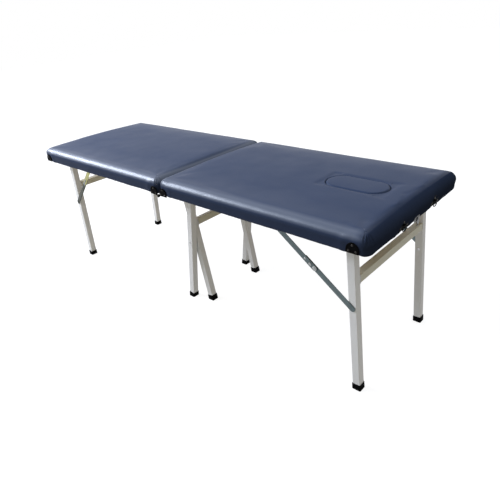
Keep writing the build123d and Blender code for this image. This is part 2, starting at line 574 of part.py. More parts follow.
for half_name, half in HALVES.items():
    ear_back = 0 if half_name == "head" else EAR_STEP
    side_planes = {side: side_plane(side, PLATE_REACH) for side in SIDES.values()}
    hinge_plates = [arched_plate(plane, -side * half * HINGE_PLATE_X, HINGE_PLATE)
                    for side, plane in side_planes.items()]
    catch_x = CATCH_PLATE_X[half_name]
    catch_plates = [arched_plate(plane, -side * half * catch_x, CATCH_PLATE)
                    for side, plane in side_planes.items()]
    screw_sets = [plate_screws(plane, -side * half * plate_x, size)
                  for side, plane in side_planes.items()
                  for plate_x, size in ((HINGE_PLATE_X, HINGE_PLATE), (catch_x, CATCH_PLATE))]
    if half_name == "head":
        head_end = end_plane(1, END_PLATE_REACH["head"])
        catch_plates += [arched_plate(head_end, side * RING_PLATE_Y, END_PLATE) for side in SIDES.values()]
        screw_sets += [plate_screws(head_end, side * RING_PLATE_Y, END_PLATE) for side in SIDES.values()]

    with BuildPart() as hinge_leaves:
        add(hinge_plates)
        for side, plane in side_planes.items():
            with BuildSketch(plane.offset(ear_back)):
                with Locations((0, FOLD_HEIGHT)):
                    Circle(EAR_RADIUS)
                with Locations((-side * half * NECK_REACH / 2, PLATE_BOTTOM + NECK_HEIGHT / 2)):
                    Rectangle(NECK_REACH, NECK_HEIGHT)
            extrude(amount=PLATE_THICKNESS)
            if half_name == "foot":
                # The step that carries the neck out over the other leaf's ear.
                with BuildSketch(plane):
                    step_middle = -side * half * (NECK_REACH - NECK_STEP / 2)
                    with Locations((step_middle, PLATE_BOTTOM + NECK_HEIGHT / 2)):
                        Rectangle(NECK_STEP, NECK_HEIGHT)
                extrude(amount=EAR_STEP + PLATE_THICKNESS)
            with BuildSketch(plane):
                with Locations((0, FOLD_HEIGHT)):
                    Circle(HINGE_PIN_RADIUS + RUNNING_GAP)
            extrude(amount=EAR_STEP + PLATE_THICKNESS, mode=Mode.SUBTRACT)
    hinge_leaves.part.label = f"{half_name}_hinge_leaves"
    export_step(hinge_leaves.part, f"parts/{half_name}_hinge_leaves.step")

    # Catch plates on the long sides, and at the head end two more that carry strap rings.
    with BuildPart() as arch_plates:
        add(catch_plates)
        if half_name == "head":
            lug_back = END_PLATE_REACH["head"] + PLATE_FLOOR
            lug_depth = REACH["head"] + PROUD - lug_back
            for side in SIDES.values():
                with Locations((lug_back + lug_depth / 2, side * RING_PLATE_Y, RING_LUG_Z)):
                    Box(lug_depth, RING_LUG_WIDTH, RING_LUG_HEIGHT)
                with Locations(across(RING_BAR_X, side * RING_PLATE_Y, RING_LUG_Z)):
                    Cylinder(RING_BAR_ROOM, RING_LUG_WIDTH + 2, mode=Mode.SUBTRACT)
    arch_plates.part.label = f"{half_name}_arch_plates"
    export_step(arch_plates.part, f"parts/{half_name}_arch_plates.step")

    with BuildPart() as screws:
        add(screw_sets)
    screws.part.label = f"{half_name}_plate_screws"
    export_step(screws.part, f"parts/{half_name}_plate_screws.step")

with BuildPart() as hinge_pins:
    pin_length = EAR_STEP + PLATE_THICKNESS + 0.3
    for side in SIDES.values():
        with BuildSketch(side_plane(side, PLATE_REACH)):
            with Locations((0, FOLD_HEIGHT)):
                Circle(HINGE_PIN_RADIUS)
        extrude(amount=pin_length)
        with BuildSketch(side_plane(side, PLATE_REACH + pin_length)):
            with Locations((0, FOLD_HEIGHT)):
                Circle(HINGE_PIN_RADIUS + 1.8)
        extrude(amount=1.4)
hinge_pins.part.label = "hinge_pins"
export_step(hinge_pins.part, "parts/hinge_pins.step")

# ---- Strap rings at the head end ---------------------------------------------------------------
RING_WIDTH = 26.0
RING_DROP = 10.0          # from the ring's bar to the centre of its bow
RING_BOW = 9.0
ring_top = RING_LUG_Z + RING_THICKNESS / 2
for side_name, side in SIDES.items():
    with BuildPart() as ring:
        with BuildSketch(end_plane(1, RING_BAR_X - RING_THICKNESS / 2)):
            for trim, mode in ((0, Mode.ADD), (RING_THICKNESS, Mode.SUBTRACT)):
                with Locations((side * RING_PLATE_Y, ring_top - trim - (RING_DROP - trim) / 2)):
                    Rectangle(RING_WIDTH - 2 * trim, RING_DROP - trim, mode=mode)
                with Locations((side * RING_PLATE_Y, ring_top - RING_DROP)):
                    Ellipse(RING_WIDTH / 2 - trim, RING_BOW - trim, mode=mode)
        extrude(amount=RING_THICKNESS)
    ring.part.label = f"ring_{side_name}"
    export_step(ring.part, f"parts/ring_{side_name}.step")

# ---- Closing latch: a swing hook on the head end, and its stud on the foot end -----------------
# The hook hangs clear of the stud's path. Once the table is closed it swings onto the stud, which
# then stands as far below the closing plane as it does above it on the open table.
HOOK_PIVOT_Y = -14.0
HOOK_PIVOT_Z = FOLD_HEIGHT + 8.5
HOOK_PIN_RADIUS = 2.5
HOOK_WIDTH = 13.0
HOOK_THICKNESS = 2.0
HOOK_BACK = REACH["head"] + 3.0
STUD_Y = -26.0
STUD_RISE = 4.2
STUD_RADIUS = 2.5
SLOT_WIDTH = 7.4
HOOK_REACH = hypot(HOOK_PIVOT_Y - STUD_Y, HOOK_PIVOT_Z - FOLD_HEIGHT + STUD_RISE)
LATCH_BASE_WIDTH = 34.0
LATCH_BASE_HEIGHT = 19.0
LATCH_BASE_THICKNESS = 2.0
LATCH_BASE_Z = COVER_BOTTOM + 0.5 + LATCH_BASE_HEIGHT / 2

with BuildPart() as latch_base:
    with BuildSketch(end_plane(1, END_PLATE_REACH["head"])):
        with Locations((HOOK_PIVOT_Y - 3, LATCH_BASE_Z)):
            RectangleRounded(LATCH_BASE_WIDTH, LATCH_BASE_HEIGHT, 2)
    extrude(amount=LATCH_BASE_THICKNESS)
    with BuildSketch(end_plane(1, END_PLATE_REACH["head"])):
        with Locations((HOOK_PIVOT_Y, HOOK_PIVOT_Z)):
            Circle(HOOK_PIN_RADIUS)
    extrude(amount=HOOK_BACK + HOOK_THICKNESS + 1.5 - END_PLATE_REACH["head"])
    with BuildSketch(end_plane(1, HOOK_BACK + HOOK_THICKNESS + 0.4)):
        with Locations((HOOK_PIVOT_Y, HOOK_PIVOT_Z)):
            Circle(HOOK_PIN_RADIUS + 1.7)
    extrude(amount=1.5)
latch_base.part.label = "latch_base"
export_step(latch_base.part, "parts/latch_base.step")

with BuildPart() as latch_hook:
    with BuildSketch(end_plane(1, HOOK_BACK)):
        with Locations((HOOK_PIVOT_Y, HOOK_PIVOT_Z)):
            Circle(HOOK_WIDTH / 2)
        with Locations((HOOK_PIVOT_Y, HOOK_PIVOT_Z - HOOK_REACH / 2)):
            Rectangle(HOOK_WIDTH, HOOK_REACH)
        with Locations((HOOK_PIVOT_Y, HOOK_PIVOT_Z - HOOK_REACH)):
            Circle(HOOK_WIDTH / 2)
        with Locations((HOOK_PIVOT_Y - HOOK_WIDTH / 2, HOOK_PIVOT_Z - HOOK_REACH)):
            Rectangle(HOOK_WIDTH, SLOT_WIDTH, mode=Mode.SUBTRACT)
        with Locations((HOOK_PIVOT_Y, HOOK_PIVOT_Z - HOOK_REACH)):
            Circle(SLOT_WIDTH / 2, mode=Mode.SUBTRACT)
        with Locations((HOOK_PIVOT_Y, HOOK_PIVOT_Z)):
            Circle(HOOK_PIN_RADIUS + RUNNING_GAP, mode=Mode.SUBTRACT)
    extrude(amount=HOOK_THICKNESS)
latch_hook.part.label = "latch_hook"
export_step(latch_hook.part, "parts/latch_hook.step")

with BuildPart() as latch_stud:
    with BuildSketch(end_plane(-1, END_PLATE_REACH["foot"])):
        with Locations((-STUD_Y, LATCH_BASE_Z)):
            RectangleRounded(LATCH_BASE_WIDTH, LATCH_BASE_HEIGHT, 2)
    extrude(amount=LATCH_BASE_THICKNESS)
    with BuildSketch(end_plane(-1, END_PLATE_REACH["foot"])):
        with Locations((-STUD_Y, FOLD_HEIGHT + STUD_RISE)):
            Circle(STUD_RADIUS)
    extrude(amount=PROUD - PLATE_GAP)
    with BuildSketch(end_plane(-1, REACH["foot"] + PROUD - 2)):
        with Locations((-STUD_Y, FOLD_HEIGHT + STUD_RISE)):
            Circle(STUD_RADIUS + 1)
    extrude(amount=2)
latch_stud.part.label = "latch_stud"
export_step(latch_stud.part, "parts/latch_stud.step")

# The angles and places that the record's joints need, in degrees and millimetres.
if __name__ == "__main__":
    end_fold = 90 + degrees(atan2(END_FOOT_X - END_PIVOT_X, END_PIVOT_Z))
    centre_lean = degrees(atan2(CENTRE_FOOT_X + CENTRE_PIVOT_X, CENTRE_PIVOT_Z))
    cross_reach = hypot(CENTRE_PIVOT_X, CENTRE_PIVOT_Z - CROSS_BOLT_Z)
    cross_dip = degrees(asin((CENTRE_PIVOT_Z - FOLD_HEIGHT) / cross_reach))
    print("end frames fold", round(end_fold, 3))
    print("centre frames fold", round(90 + centre_lean - cross_dip, 3))
    for half_name in HALVES:
        slope = degrees(atan2(STAY_TOP_Z - STAY_FOOT_Z, STAY_FOOT_X - STAY_TOP_X[half_name]))
        joint_x, joint_z = stay_point(half_name, stay_joint(half_name))
        print(half_name, "stays: slope", round(slope, 3), "joint at", round(joint_x, 2), round(joint_z, 2))
    hook_swing = degrees(atan2(HOOK_PIVOT_Y - STUD_Y, HOOK_PIVOT_Z - FOLD_HEIGHT + STUD_RISE))
    print("hook swing", round(hook_swing, 2))
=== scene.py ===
import json
from math import atan2, cos, exp, hypot, pi, radians, sin, sqrt

import bmesh
import bpy
from mathutils import Matrix, Vector, noise


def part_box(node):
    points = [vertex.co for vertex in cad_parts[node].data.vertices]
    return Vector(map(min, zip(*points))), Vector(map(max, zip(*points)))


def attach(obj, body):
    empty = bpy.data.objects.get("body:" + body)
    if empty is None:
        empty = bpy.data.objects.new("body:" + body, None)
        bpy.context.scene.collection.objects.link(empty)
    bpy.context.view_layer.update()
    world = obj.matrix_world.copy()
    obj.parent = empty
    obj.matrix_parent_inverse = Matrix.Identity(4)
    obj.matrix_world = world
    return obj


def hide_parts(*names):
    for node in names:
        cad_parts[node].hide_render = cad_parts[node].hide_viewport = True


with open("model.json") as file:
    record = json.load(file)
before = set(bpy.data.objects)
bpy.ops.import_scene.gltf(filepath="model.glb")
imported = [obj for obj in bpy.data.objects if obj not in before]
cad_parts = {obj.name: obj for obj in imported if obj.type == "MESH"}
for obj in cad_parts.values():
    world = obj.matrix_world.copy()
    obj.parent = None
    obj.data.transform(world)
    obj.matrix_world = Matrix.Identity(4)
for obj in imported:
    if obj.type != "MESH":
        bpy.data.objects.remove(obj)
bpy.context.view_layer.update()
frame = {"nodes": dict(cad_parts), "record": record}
scene = bpy.context.scene
HALVES = {"head": 1, "foot": -1}
SIDES = {"near": -1, "far": 1}
BOTH = (-1, 1)

# ---- Table sizes, metres ----
FOLD_HEIGHT = 0.552
REACH = {1: 0.907, -1: 0.930}     # from the fold line to the upholstered ends, head and foot
HALF_WIDTH = 0.306
SHOULDER = 0.619
CREST = 0.627
HOLE_X = 0.690
HOLE_LENGTH = 0.228
HOLE_WIDTH = 0.111


# ---- Camera, floor and light ----
CAMERA_PLACE = (1.4239, -1.2800, 1.1823)
CAMERA_TURN = (0.7764, 0.4918, -0.0913)     # yaw, pitch and roll, radians
CAMERA_LENS = 33.058                        # mm, on a sensor 36 mm wide
BRIGHT_SIDE = (-0.88, 0.36, 0.30)           # the room is bright beyond the foot end and behind
ROOM_TINTS = ((0.30, (0.46, 0.44, 0.40)), (0.95, (0.62, 0.70, 0.86)))
LAMPS = (                                   # name, place, aim, width and height, watts, tint
    ("window_softbox", (-3.4, -1.5, 2.3), (0, 0, 0.55), (1.7, 1.2), 142, (0.88, 0.91, 1.0)),
    ("edge_softbox", (-2.0, -2.3, 2.5), (-0.1, -0.3, 0.6), (0.7, 0.5), 22, (0.88, 0.93, 1.0)),
    ("front_softbox", (0.2, -4.2, 0.8), (0, 0, 0.30), (3.4, 1.4), 5, (1, 1, 1)),
    ("top_softbox", (-0.8, 0.6, 3.6), (-0.1, 0, 0.5), (3.0, 2.4), 10, (1, 1, 1)),
)
FLOOR_REACH = 14
FLOOR_TINT = (0.46, 0.43, 0.34, 1)          # what the object's light bounces off
PAPER_TINT = (0.30, 0.30, 0.30, 1)          # what the camera sees: it takes the shadow
PAPER_GLOW = 0.86


def add_object(name, data):
    made = bpy.data.objects.new(name, data)
    scene.collection.objects.link(made)
    return made


def mesh_from(bm, name):
    data = bpy.data.meshes.new(name)
    bm.to_mesh(data)
    bm.free()
    return data


def empty_tree(owner):
    """The owner's node tree, switched on and cleared."""
    owner.use_nodes = True
    owner.node_tree.nodes.clear()
    return owner.node_tree


def add_node(tree, kind, inputs=(), **settings):
    """A node with its settings; each input takes an output to link, or a value."""
    made = tree.nodes.new(kind)
    for key, value in settings.items():
        setattr(made, key, value)
    for socket, value in dict(inputs).items():
        if isinstance(value, bpy.types.NodeSocket):
            tree.links.new(value, made.inputs[socket])
        else:
            made.inputs[socket].default_value = value
    return made


def add_ramp(tree, value, stops):
    """A colour or grey for each (position, colour)."""
    made = add_node(tree, "ShaderNodeValToRGB", {"Fac": value})
    elements = made.color_ramp.elements
    while len(elements) < len(stops):
        elements.new(0.5)
    for element, (position, colour) in zip(elements, stops):
        element.position = position
        element.color = (*colour, 1) if isinstance(colour, tuple) else (colour, colour, colour, 1)
    return made.outputs["Color"]


def rays_that_see_white(tree):
    """1 for camera, glossy and transmission rays, which all see the white background."""
    rays = add_node(tree, "ShaderNodeLightPath").outputs
    seen = rays["Is Camera Ray"]
    for kind in ("Is Glossy Ray", "Is Transmission Ray"):
        seen = add_node(tree, "ShaderNodeMath", {0: seen, 1: rays[kind]}, operation="MAXIMUM").outputs[0]
    return seen


def place_camera():
    yaw, pitch, roll = CAMERA_TURN
    ahead = Vector((-sin(yaw) * cos(pitch), cos(yaw) * cos(pitch), -sin(pitch)))
    right = Vector((cos(yaw), sin(yaw), 0))
    up = right.cross(ahead)
    tilted_right = right * cos(roll) + up * sin(roll)
    tilted_up = up * cos(roll) - right * sin(roll)
    camera = add_object("camera", bpy.data.cameras.new("camera"))
    turn = Matrix((tilted_right, tilted_up, -ahead)).transposed()
    camera.matrix_world = Matrix.Translation(CAMERA_PLACE) @ turn.to_4x4()
    camera.data.sensor_width = 36
    camera.data.lens = CAMERA_LENS
    camera.data.clip_end = 100
    scene.camera = camera
    scene.view_settings.view_transform = "Standard"


def light_room():
    scene.world = bpy.data.worlds.new("studio")
    tree = empty_tree(scene.world)
    direction = add_node(tree, "ShaderNodeTexCoord").outputs["Generated"]
    lean = add_node(tree, "ShaderNodeVectorMath", {0: direction, 1: BRIGHT_SIDE}, operation="DOT_PRODUCT")
    share = add_node(tree, "ShaderNodeMapRange", {"Value": lean.outputs["Value"], "From Min": -1})
    room = add_ramp(tree, share.outputs["Result"], ROOM_TINTS)
    fill = add_node(tree, "ShaderNodeBackground", {"Color": room})
    white = add_node(tree, "ShaderNodeBackground", {"Color": (1, 1, 1, 1)})
    mix = add_node(tree, "ShaderNodeMixShader",
                   {0: rays_that_see_white(tree), 1: fill.outputs[0], 2: white.outputs[0]})
    add_node(tree, "ShaderNodeOutputWorld", {"Surface": mix.outputs[0]})
    for name, place, aim, size, power, tint in LAMPS:
        data = bpy.data.lights.new(name, "AREA")
        data.shape = "RECTANGLE"
        data.size, data.size_y = size
        data.energy = power
        data.color = tint
        turn = (Vector(place) - Vector(aim)).to_track_quat("Z", "Y")
        add_object(name, data).matrix_world = Matrix.Translation(place) @ turn.to_matrix().to_4x4()


def lay_floor():
    bm = bmesh.new()
    bmesh.ops.create_grid(bm, x_segments=1, y_segments=1, size=FLOOR_REACH)
    floor = add_object("floor", mesh_from(bm, "floor"))
    paper = bpy.data.materials.new("paper")
    tree = empty_tree(paper)
    matt = add_node(tree, "ShaderNodeBsdfDiffuse", {"Color": FLOOR_TINT})
    pale = add_node(tree, "ShaderNodeBsdfDiffuse", {"Color": PAPER_TINT})
    glow = add_node(tree, "ShaderNodeEmission", {"Strength": PAPER_GLOW})
    bright = add_node(tree, "ShaderNodeAddShader", {0: pale.outputs[0], 1: glow.outputs[0]})
    pick = add_node(tree, "ShaderNodeMixShader",
                    {0: rays_that_see_white(tree), 1: matt.outputs[0], 2: bright.outputs[0]})
    add_node(tree, "ShaderNodeOutputMaterial", {"Surface": pick.outputs[0]})
    floor.data.materials.append(paper)


# ---- Finishes ----
class Finish:
    """A material under construction: a Principled shader, and the patterns that feed it."""

    def __init__(self, name, colour, roughness, metallic=0.0, specular=0.5):
        self.material = bpy.data.materials.new(name)
        self.tree = empty_tree(self.material)
        self.shader = self.node("ShaderNodeBsdfPrincipled", {
            "Base Color": (*colour, 1), "Roughness": roughness, "Metallic": metallic,
            "Specular IOR Level": specular})
        self.node("ShaderNodeOutputMaterial", {"Surface": self.shader.outputs["BSDF"]})
        self.place = self.node("ShaderNodeTexCoord").outputs["Object"]
        self.normal = None

    def node(self, kind, inputs=(), **settings):
        return add_node(self.tree, kind, inputs, **settings)

    def feed(self, socket, output):
        self.tree.links.new(output, self.shader.inputs[socket])

    def stretch(self, scale):
        """Object coordinates scaled along each axis."""
        return self.node("ShaderNodeMapping", {"Vector": self.place, "Scale": scale}).outputs["Vector"]

    def noise(self, scale, detail, roughness, vector=None, distortion=0.0):
        inputs = {"Vector": vector or self.place, "Scale": scale, "Detail": detail,
                  "Roughness": roughness, "Distortion": distortion}
        return self.node("ShaderNodeTexNoise", inputs).outputs["Fac"]

    def cells(self, scale):
        inputs = {"Vector": self.place, "Scale": scale}
        return self.node("ShaderNodeTexVoronoi", inputs, feature="DISTANCE_TO_EDGE").outputs["Distance"]

    def span(self, value, low, high):
        """0 to 1 while the value goes from low to high."""
        inputs = {"Value": value, "From Min": low, "From Max": high}
        return self.node("ShaderNodeMapRange", inputs).outputs["Result"]

    def ramp(self, value, *stops):
        return add_ramp(self.tree, value, stops)

    def mix(self, factor, first, second):
        """Two colours, or outputs with colours, by a factor."""
        first, second = ((*c, 1) if isinstance(c, tuple) else c for c in (first, second))
        return self.node("ShaderNodeMix", {0: factor, 6: first, 7: second}, data_type="RGBA").outputs[2]

    def rough(self, value, low, high):
        self.feed("Roughness", self.ramp(value, (0.3, low), (0.7, high)))

    def bump(self, height, distance, strength):
        """Add a relief of that height in metres on top of the ones before."""
        inputs = {"Height": height, "Distance": distance, "Strength": strength}
        if self.normal is not None:
            inputs["Normal"] = self.normal
        self.normal = self.node("ShaderNodeBump", inputs).outputs["Normal"]
        self.feed("Normal", self.normal)


def make_vinyl():
    """Navy vinyl, glossier on the top and along its edges and dull down the sides; its top is painted lighter
    than its sides as painted light, and its head end darker as painted shade.
    """
    vinyl = Finish("satin_vinyl", (0.030, 0.044, 0.085), 0.34, specular=0.3)
    split = vinyl.node("ShaderNodeSeparateXYZ", {0: vinyl.place}).outputs
    level = vinyl.span(split["Z"], 0.580, 0.630)
    broad = vinyl.noise(3.2, 3, 0.55)
    fine = vinyl.noise(55, 4, 0.6)
    # Painted light: the top gets a lighter, bluer colour than the sides, and the sides stand for the same
    # vinyl in shade.
    side = vinyl.mix(broad, (0.021, 0.030, 0.058), (0.027, 0.037, 0.069))
    top = vinyl.mix(broad, (0.038, 0.058, 0.116), (0.046, 0.068, 0.132))
    tint = vinyl.mix(vinyl.ramp(level, (0.10, 0.0), (0.74, 1.0)), side, top)
    gloss = vinyl.ramp(level, (0.28, 0.02), (0.50, 0.90), (0.74, 1.0), (0.83, 0.20), (0.94, 0.06))
    # Towards the head end the gloss is cut to nothing and the colour is darkened, as painted shade on the end
    # face.
    end = vinyl.span(split["X"], 0.855, 0.890)
    gloss = vinyl.mix(end, gloss, (0.0, 0.0, 0.0))
    tint = vinyl.mix(vinyl.ramp(end, (0.3, 0.0), (1.0, 0.45)), tint, (0.009, 0.011, 0.018))
    wear = vinyl.ramp(fine, (0.35, 0.0), (0.75, 0.10))
    vinyl.feed("Base Color", vinyl.mix(wear, tint, (0.045, 0.060, 0.105)))
    vinyl.feed("Specular IOR Level", gloss)
    vinyl.rough(vinyl.noise(9, 3, 0.6), 0.38, 0.44)
    vinyl.bump(vinyl.cells(900), 0.00007, 0.4)
    vinyl.bump(vinyl.noise(700, 2, 0.6), 0.00006, 0.4)
    vinyl.bump(vinyl.noise(22, 1, 0.5), 0.0004, 0.25)
    # The reflections are tinted blue as painted light, standing in for a bluish light.
    vinyl.shader.inputs["Specular Tint"].default_value = (0.84, 0.91, 1, 1)
    return vinyl.material


def make_enamel(name, low, high):
    enamel = Finish(name, high, 0.32, specular=0.16)
    dust = enamel.noise(18, 4, 0.6)
    tint = enamel.mix(dust, low, high)
    scuffs = enamel.noise(60, 5, 0.7, enamel.stretch((1, 1, 0.25)))
    scuffed = enamel.ramp(scuffs, (0.66, 0.0), (0.80, 0.30))
    enamel.feed("Base Color", enamel.mix(scuffed, tint, (0.56, 0.55, 0.52)))
    enamel.rough(enamel.noise(30, 3, 0.6), 0.26, 0.40)
    enamel.bump(enamel.noise(420, 2, 0.5), 0.00012, 0.5)
    return enamel.material


def make_steel(name, colour, other, roughness, brush=(1, 1, 1)):
    steel = Finish(name, colour, roughness, metallic=1.0)
    brushed = steel.stretch(brush)
    patches = steel.ramp(steel.noise(28, 5, 0.65, brushed), (0.35, 0.0), (0.68, 1.0))
    steel.feed("Base Color", steel.mix(patches, colour, other))
    steel.rough(steel.noise(160, 4, 0.7, brushed), roughness - 0.08, roughness + 0.12)
    steel.bump(steel.noise(900, 2, 0.6, brushed), 0.00008, 0.4)
    return steel.material


def make_plastic(name, colour, roughness, grain):
    plastic = Finish(name, colour, roughness, specular=0.01)
    wear = plastic.ramp(plastic.noise(70, 4, 0.65), (0.45, 0.0), (0.85, 0.7))
    pale = tuple(min(1, c * 1.9 + 0.002) for c in colour)
    plastic.feed("Base Color", plastic.mix(wear, colour, pale))
    plastic.rough(plastic.noise(45, 3, 0.6), roughness - 0.08, roughness + 0.1)
    plastic.bump(plastic.noise(grain, 2, 0.6), 0.00015, 0.5)
    return plastic.material


def make_wood(name, pale, dark, along, layers=0):
    wood = Finish(name, pale, 0.62, specular=0.2)
    fibres = wood.stretch(along)
    grain = wood.noise(14, 6, 0.62, fibres, distortion=0.5)
    pores = wood.noise(120, 4, 0.7, fibres)
    tint = wood.mix(wood.ramp(grain, (0.34, 0.0), (0.66, 1.0)), pale, dark)
    tint = wood.mix(wood.ramp(pores, (0.56, 0.0), (0.74, 0.45)), tint, tuple(c * 0.55 for c in dark))
    if layers:
        bands = wood.node("ShaderNodeTexWave", {"Vector": wood.place, "Scale": layers}, bands_direction="Z")
        tint = wood.mix(wood.ramp(bands.outputs["Fac"], (0.45, 0.0), (0.55, 0.25)), tint, dark)
    wood.feed("Base Color", tint)
    wood.bump(grain, 0.0003, 0.4)
    return wood.material


def make_foam():
    foam = Finish("open_foam", (0.80, 0.74, 0.50), 0.9, specular=0.2)
    tint = foam.mix(foam.noise(40, 4, 0.6), (0.74, 0.67, 0.42), (0.86, 0.80, 0.58))
    foam.feed("Base Color", tint)
    foam.bump(foam.cells(650), 0.0005, 0.7)
    return foam.material


place_camera()
light_room()
lay_floor()
VINYL = make_vinyl()
ENAMEL = make_enamel("white_enamel", (0.70, 0.705, 0.715), (0.76, 0.765, 0.775))
# A darker, warmer copy of the white enamel for the cross rails: painted shade under the deck, with a painted
# warm bounce from the floor.
SHADED_RAIL_ENAMEL = make_enamel("rail_enamel_painted_shade", (0.57, 0.55, 0.44), (0.63, 0.61, 0.50))
ZINC = make_steel("zinc_plate", (0.115, 0.145, 0.15), (0.08, 0.10, 0.105), 0.42, (0.6, 0.6, 0.6))
# Zinc coloured yellow as a painted warm reflection, for the foot stays' upper bars.
WARM_REFLECTION_ZINC = make_steel("zinc_painted_warm_reflection", (0.44, 0.42, 0.17), (0.30, 0.30, 0.13), 0.40, (0.6, 0.6, 0.6))
BRACKET = make_steel("pressed_steel", (0.36, 0.36, 0.35), (0.26, 0.25, 0.23), 0.48)
BRIGHT = make_steel("bright_plate", (0.78, 0.79, 0.81), (0.66, 0.66, 0.66), 0.26)
BOLT = make_steel("bolt_steel", (0.56, 0.56, 0.57), (0.40, 0.40, 0.40), 0.38)
DARK_SCREW = make_steel("blackened_steel", (0.040, 0.037, 0.034), (0.022, 0.020, 0.019), 0.40)
LATCH_STEEL = make_steel("dull_steel", (0.20, 0.20, 0.20), (0.10, 0.10, 0.10), 0.36)
RIVET = make_steel("rivet_steel", (0.34, 0.35, 0.35), (0.22, 0.23, 0.23), 0.42)
# Zinc darkened as painted shade, for the foot stays' lower bars.
SHADED_ZINC = make_steel("zinc_painted_shade", (0.050, 0.055, 0.042), (0.030, 0.033, 0.026), 0.42, (0.6, 0.6, 0.6))
RING_BLACK = make_plastic("glossy_black", (0.012, 0.012, 0.013), 0.24, 300)
RUBBER = make_plastic("black_rubber", (0.0030, 0.0030, 0.0034), 0.62, 500)
MOULDED = make_plastic("black_moulding", (0.0035, 0.0035, 0.004), 0.34, 320)
PLYWOOD = make_wood("birch_plywood", (0.68, 0.52, 0.33), (0.50, 0.35, 0.20), (0.35, 5, 5), layers=180)
# The pine is darkened as painted shade: the end rails are seen only in shadow, through the hinge gap.
PINE_LONG = make_wood("pine_along", (0.26, 0.18, 0.11), (0.18, 0.12, 0.07), (0.35, 5, 5))
PINE_CROSS = make_wood("pine_across", (0.26, 0.18, 0.11), (0.18, 0.12, 0.07), (5, 0.35, 5))
FOAM = make_foam()

SLOTS = {"vinyl": VINYL, "foam": FOAM, "plywood": PLYWOOD, "rim_wood": PINE_LONG, "white_enamel": ENAMEL,
         "black_rubber": RUBBER, "black_plastic": MOULDED, "zinc": ZINC, "dark_steel": BRACKET,
         "plated": LATCH_STEEL, "fastener": BOLT}
# Paints with painted light: darkened pine for the end rails, shaded enamel for the cross rails, and zinc with
# a painted warm reflection for the foot's upper links.
SPECIAL = {"end_rails": PINE_CROSS, "cross_rail": SHADED_RAIL_ENAMEL, "foot_upper_links": WARM_REFLECTION_ZINC}
for part in frame["record"]["subparts"]:
    node = frame["nodes"][part["node"]]
    paint = SLOTS[part["material_slot"]]
    for ending, other in SPECIAL.items():
        if part["node"].endswith(ending):
            paint = other
    if node.material_slots:
        for material_slot in node.material_slots:
            material_slot.material = paint
    else:
        node.data.materials.append(paint)


# ---- Making pieces ----
def piece_from(bm, name, body, paint, replaces=(), smooth=40):
    """Turn a bmesh into a finished piece that rides on a body."""
    face_outward(bm)
    data = mesh_from(bm, name)
    data.materials.append(paint)
    data.shade_smooth()
    data.set_sharp_from_angle(angle=radians(smooth))
    piece = add_object(name, data)
    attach(piece, body)
    if replaces:
        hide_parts(*replaces)
    return piece


def clamp(value):
    return max(0, min(1, value))


def face_outward(bm):
    bmesh.ops.recalc_face_normals(bm, faces=bm.faces)


def verts_of(made):
    """The vertices that a bmesh operation made."""
    return [g for g in made["geom"] if isinstance(g, bmesh.types.BMVert)]


def edges_of(geometry):
    return [g for g in geometry if isinstance(g, bmesh.types.BMEdge)]


def edges_where(bm, test):
    """Edges whose ends both pass the test."""
    return [e for e in bm.edges if all(test(v.co) for v in e.verts)]


def lift(bm, z, verts=None):
    bmesh.ops.translate(bm, vec=(0, 0, z), verts=bm.verts if verts is None else verts)


def bevel(bm, edges, width, segments):
    bmesh.ops.bevel(bm, geom=edges, offset=width, offset_type="OFFSET", segments=segments,
                    profile=0.5, affect="EDGES", clamp_overlap=False, material=-1)


def cut(bm, normal, places):
    """Slice the mesh with parallel planes, to give it even cells."""
    for place in places:
        geometry = bm.verts[:] + bm.edges[:] + bm.faces[:]
        bmesh.ops.bisect_plane(bm, geom=geometry, plane_co=Vector(normal) * place,
                               plane_no=normal, dist=1e-6)


def steps(low, high, pitch):
    """Even places between low and high, about a pitch apart."""
    count = max(1, round((high - low) / pitch))
    return [low + (high - low) * k / count for k in range(1, count)]


def crown(y):
    """Height of the cushion's crown above its shoulders."""
    return (CREST - SHOULDER) * (1 - (y / HALF_WIDTH) ** 2)


def stadium(length, width, count):
    """Points round a stadium centred on the face hole."""
    radius = width / 2
    straight = length / 2 - radius
    points = []
    for end in (1, -1):
        for k in range(count + 1):
            angle = -pi / 2 + pi * k / count
            points.append((HOLE_X + end * (straight + radius * cos(angle)), end * radius * sin(angle)))
    return points


# ---- Vinyl cushions ----
PLAN_RADIUS = 0.028
EDGE_RADIUS = 0.034       # softer than the block's, as the foam rounds off under the vinyl
COVER_BOTTOM = FOLD_HEIGHT + 0.0006
BOTTOM_RADIUS = 0.010
CELL = 0.0100
HEM = 0.020
LIP = 0.005               # how far the face hole's rolled lip reaches out over the top
LIP_PROFILE = ((0.0016, -0.0004), (0.0032, 0.0006), (0.0044, 0.0024), (0.005, 0.005),
               (0.005, 0.012), (0.005, 0.0235))        # how far in, how far down
FOLD_FOOT = 0.585         # the gathers at the corners start at this height
FOLD_ANGLES = (0.20, 0.52, 0.86, 1.22)
FOLD_WIDTH = 0.085
FOLD_DEPTH = 0.0030
HINGE_PLATE_X = 0.028
CATCH_PLATE_X = {1: 0.857, -1: 0.893}
RING_PLATE_Y = 0.108
PLATE_MIDDLE_Z = 0.572
DIMPLE_DEPTH = 0.0011     # pressed in by a plate
DIMPLE_RADIUS = 0.026
PUFF_HEIGHT = 0.0012      # swollen round it
PUFF_RADIUS = 0.038
PUFF_WIDTH = 0.010
END_SWELL = 0.0030
CORNER_SWELL = 0.0012
PUCKER_HEIGHT = 0.00016
PUCKER_PITCH = 0.041
VINYL_THICKNESS = 0.0013
CLOTH = {"quality": 5, "mass": 0.3, "tension_stiffness": 25, "compression_stiffness": 25,
         "bending_stiffness": 2.0, "use_pressure": True, "uniform_pressure_force": 3.0}
CLOTH_FRAMES = 16
CLOTH_REACH = 0.0022      # the furthest that the vinyl may move
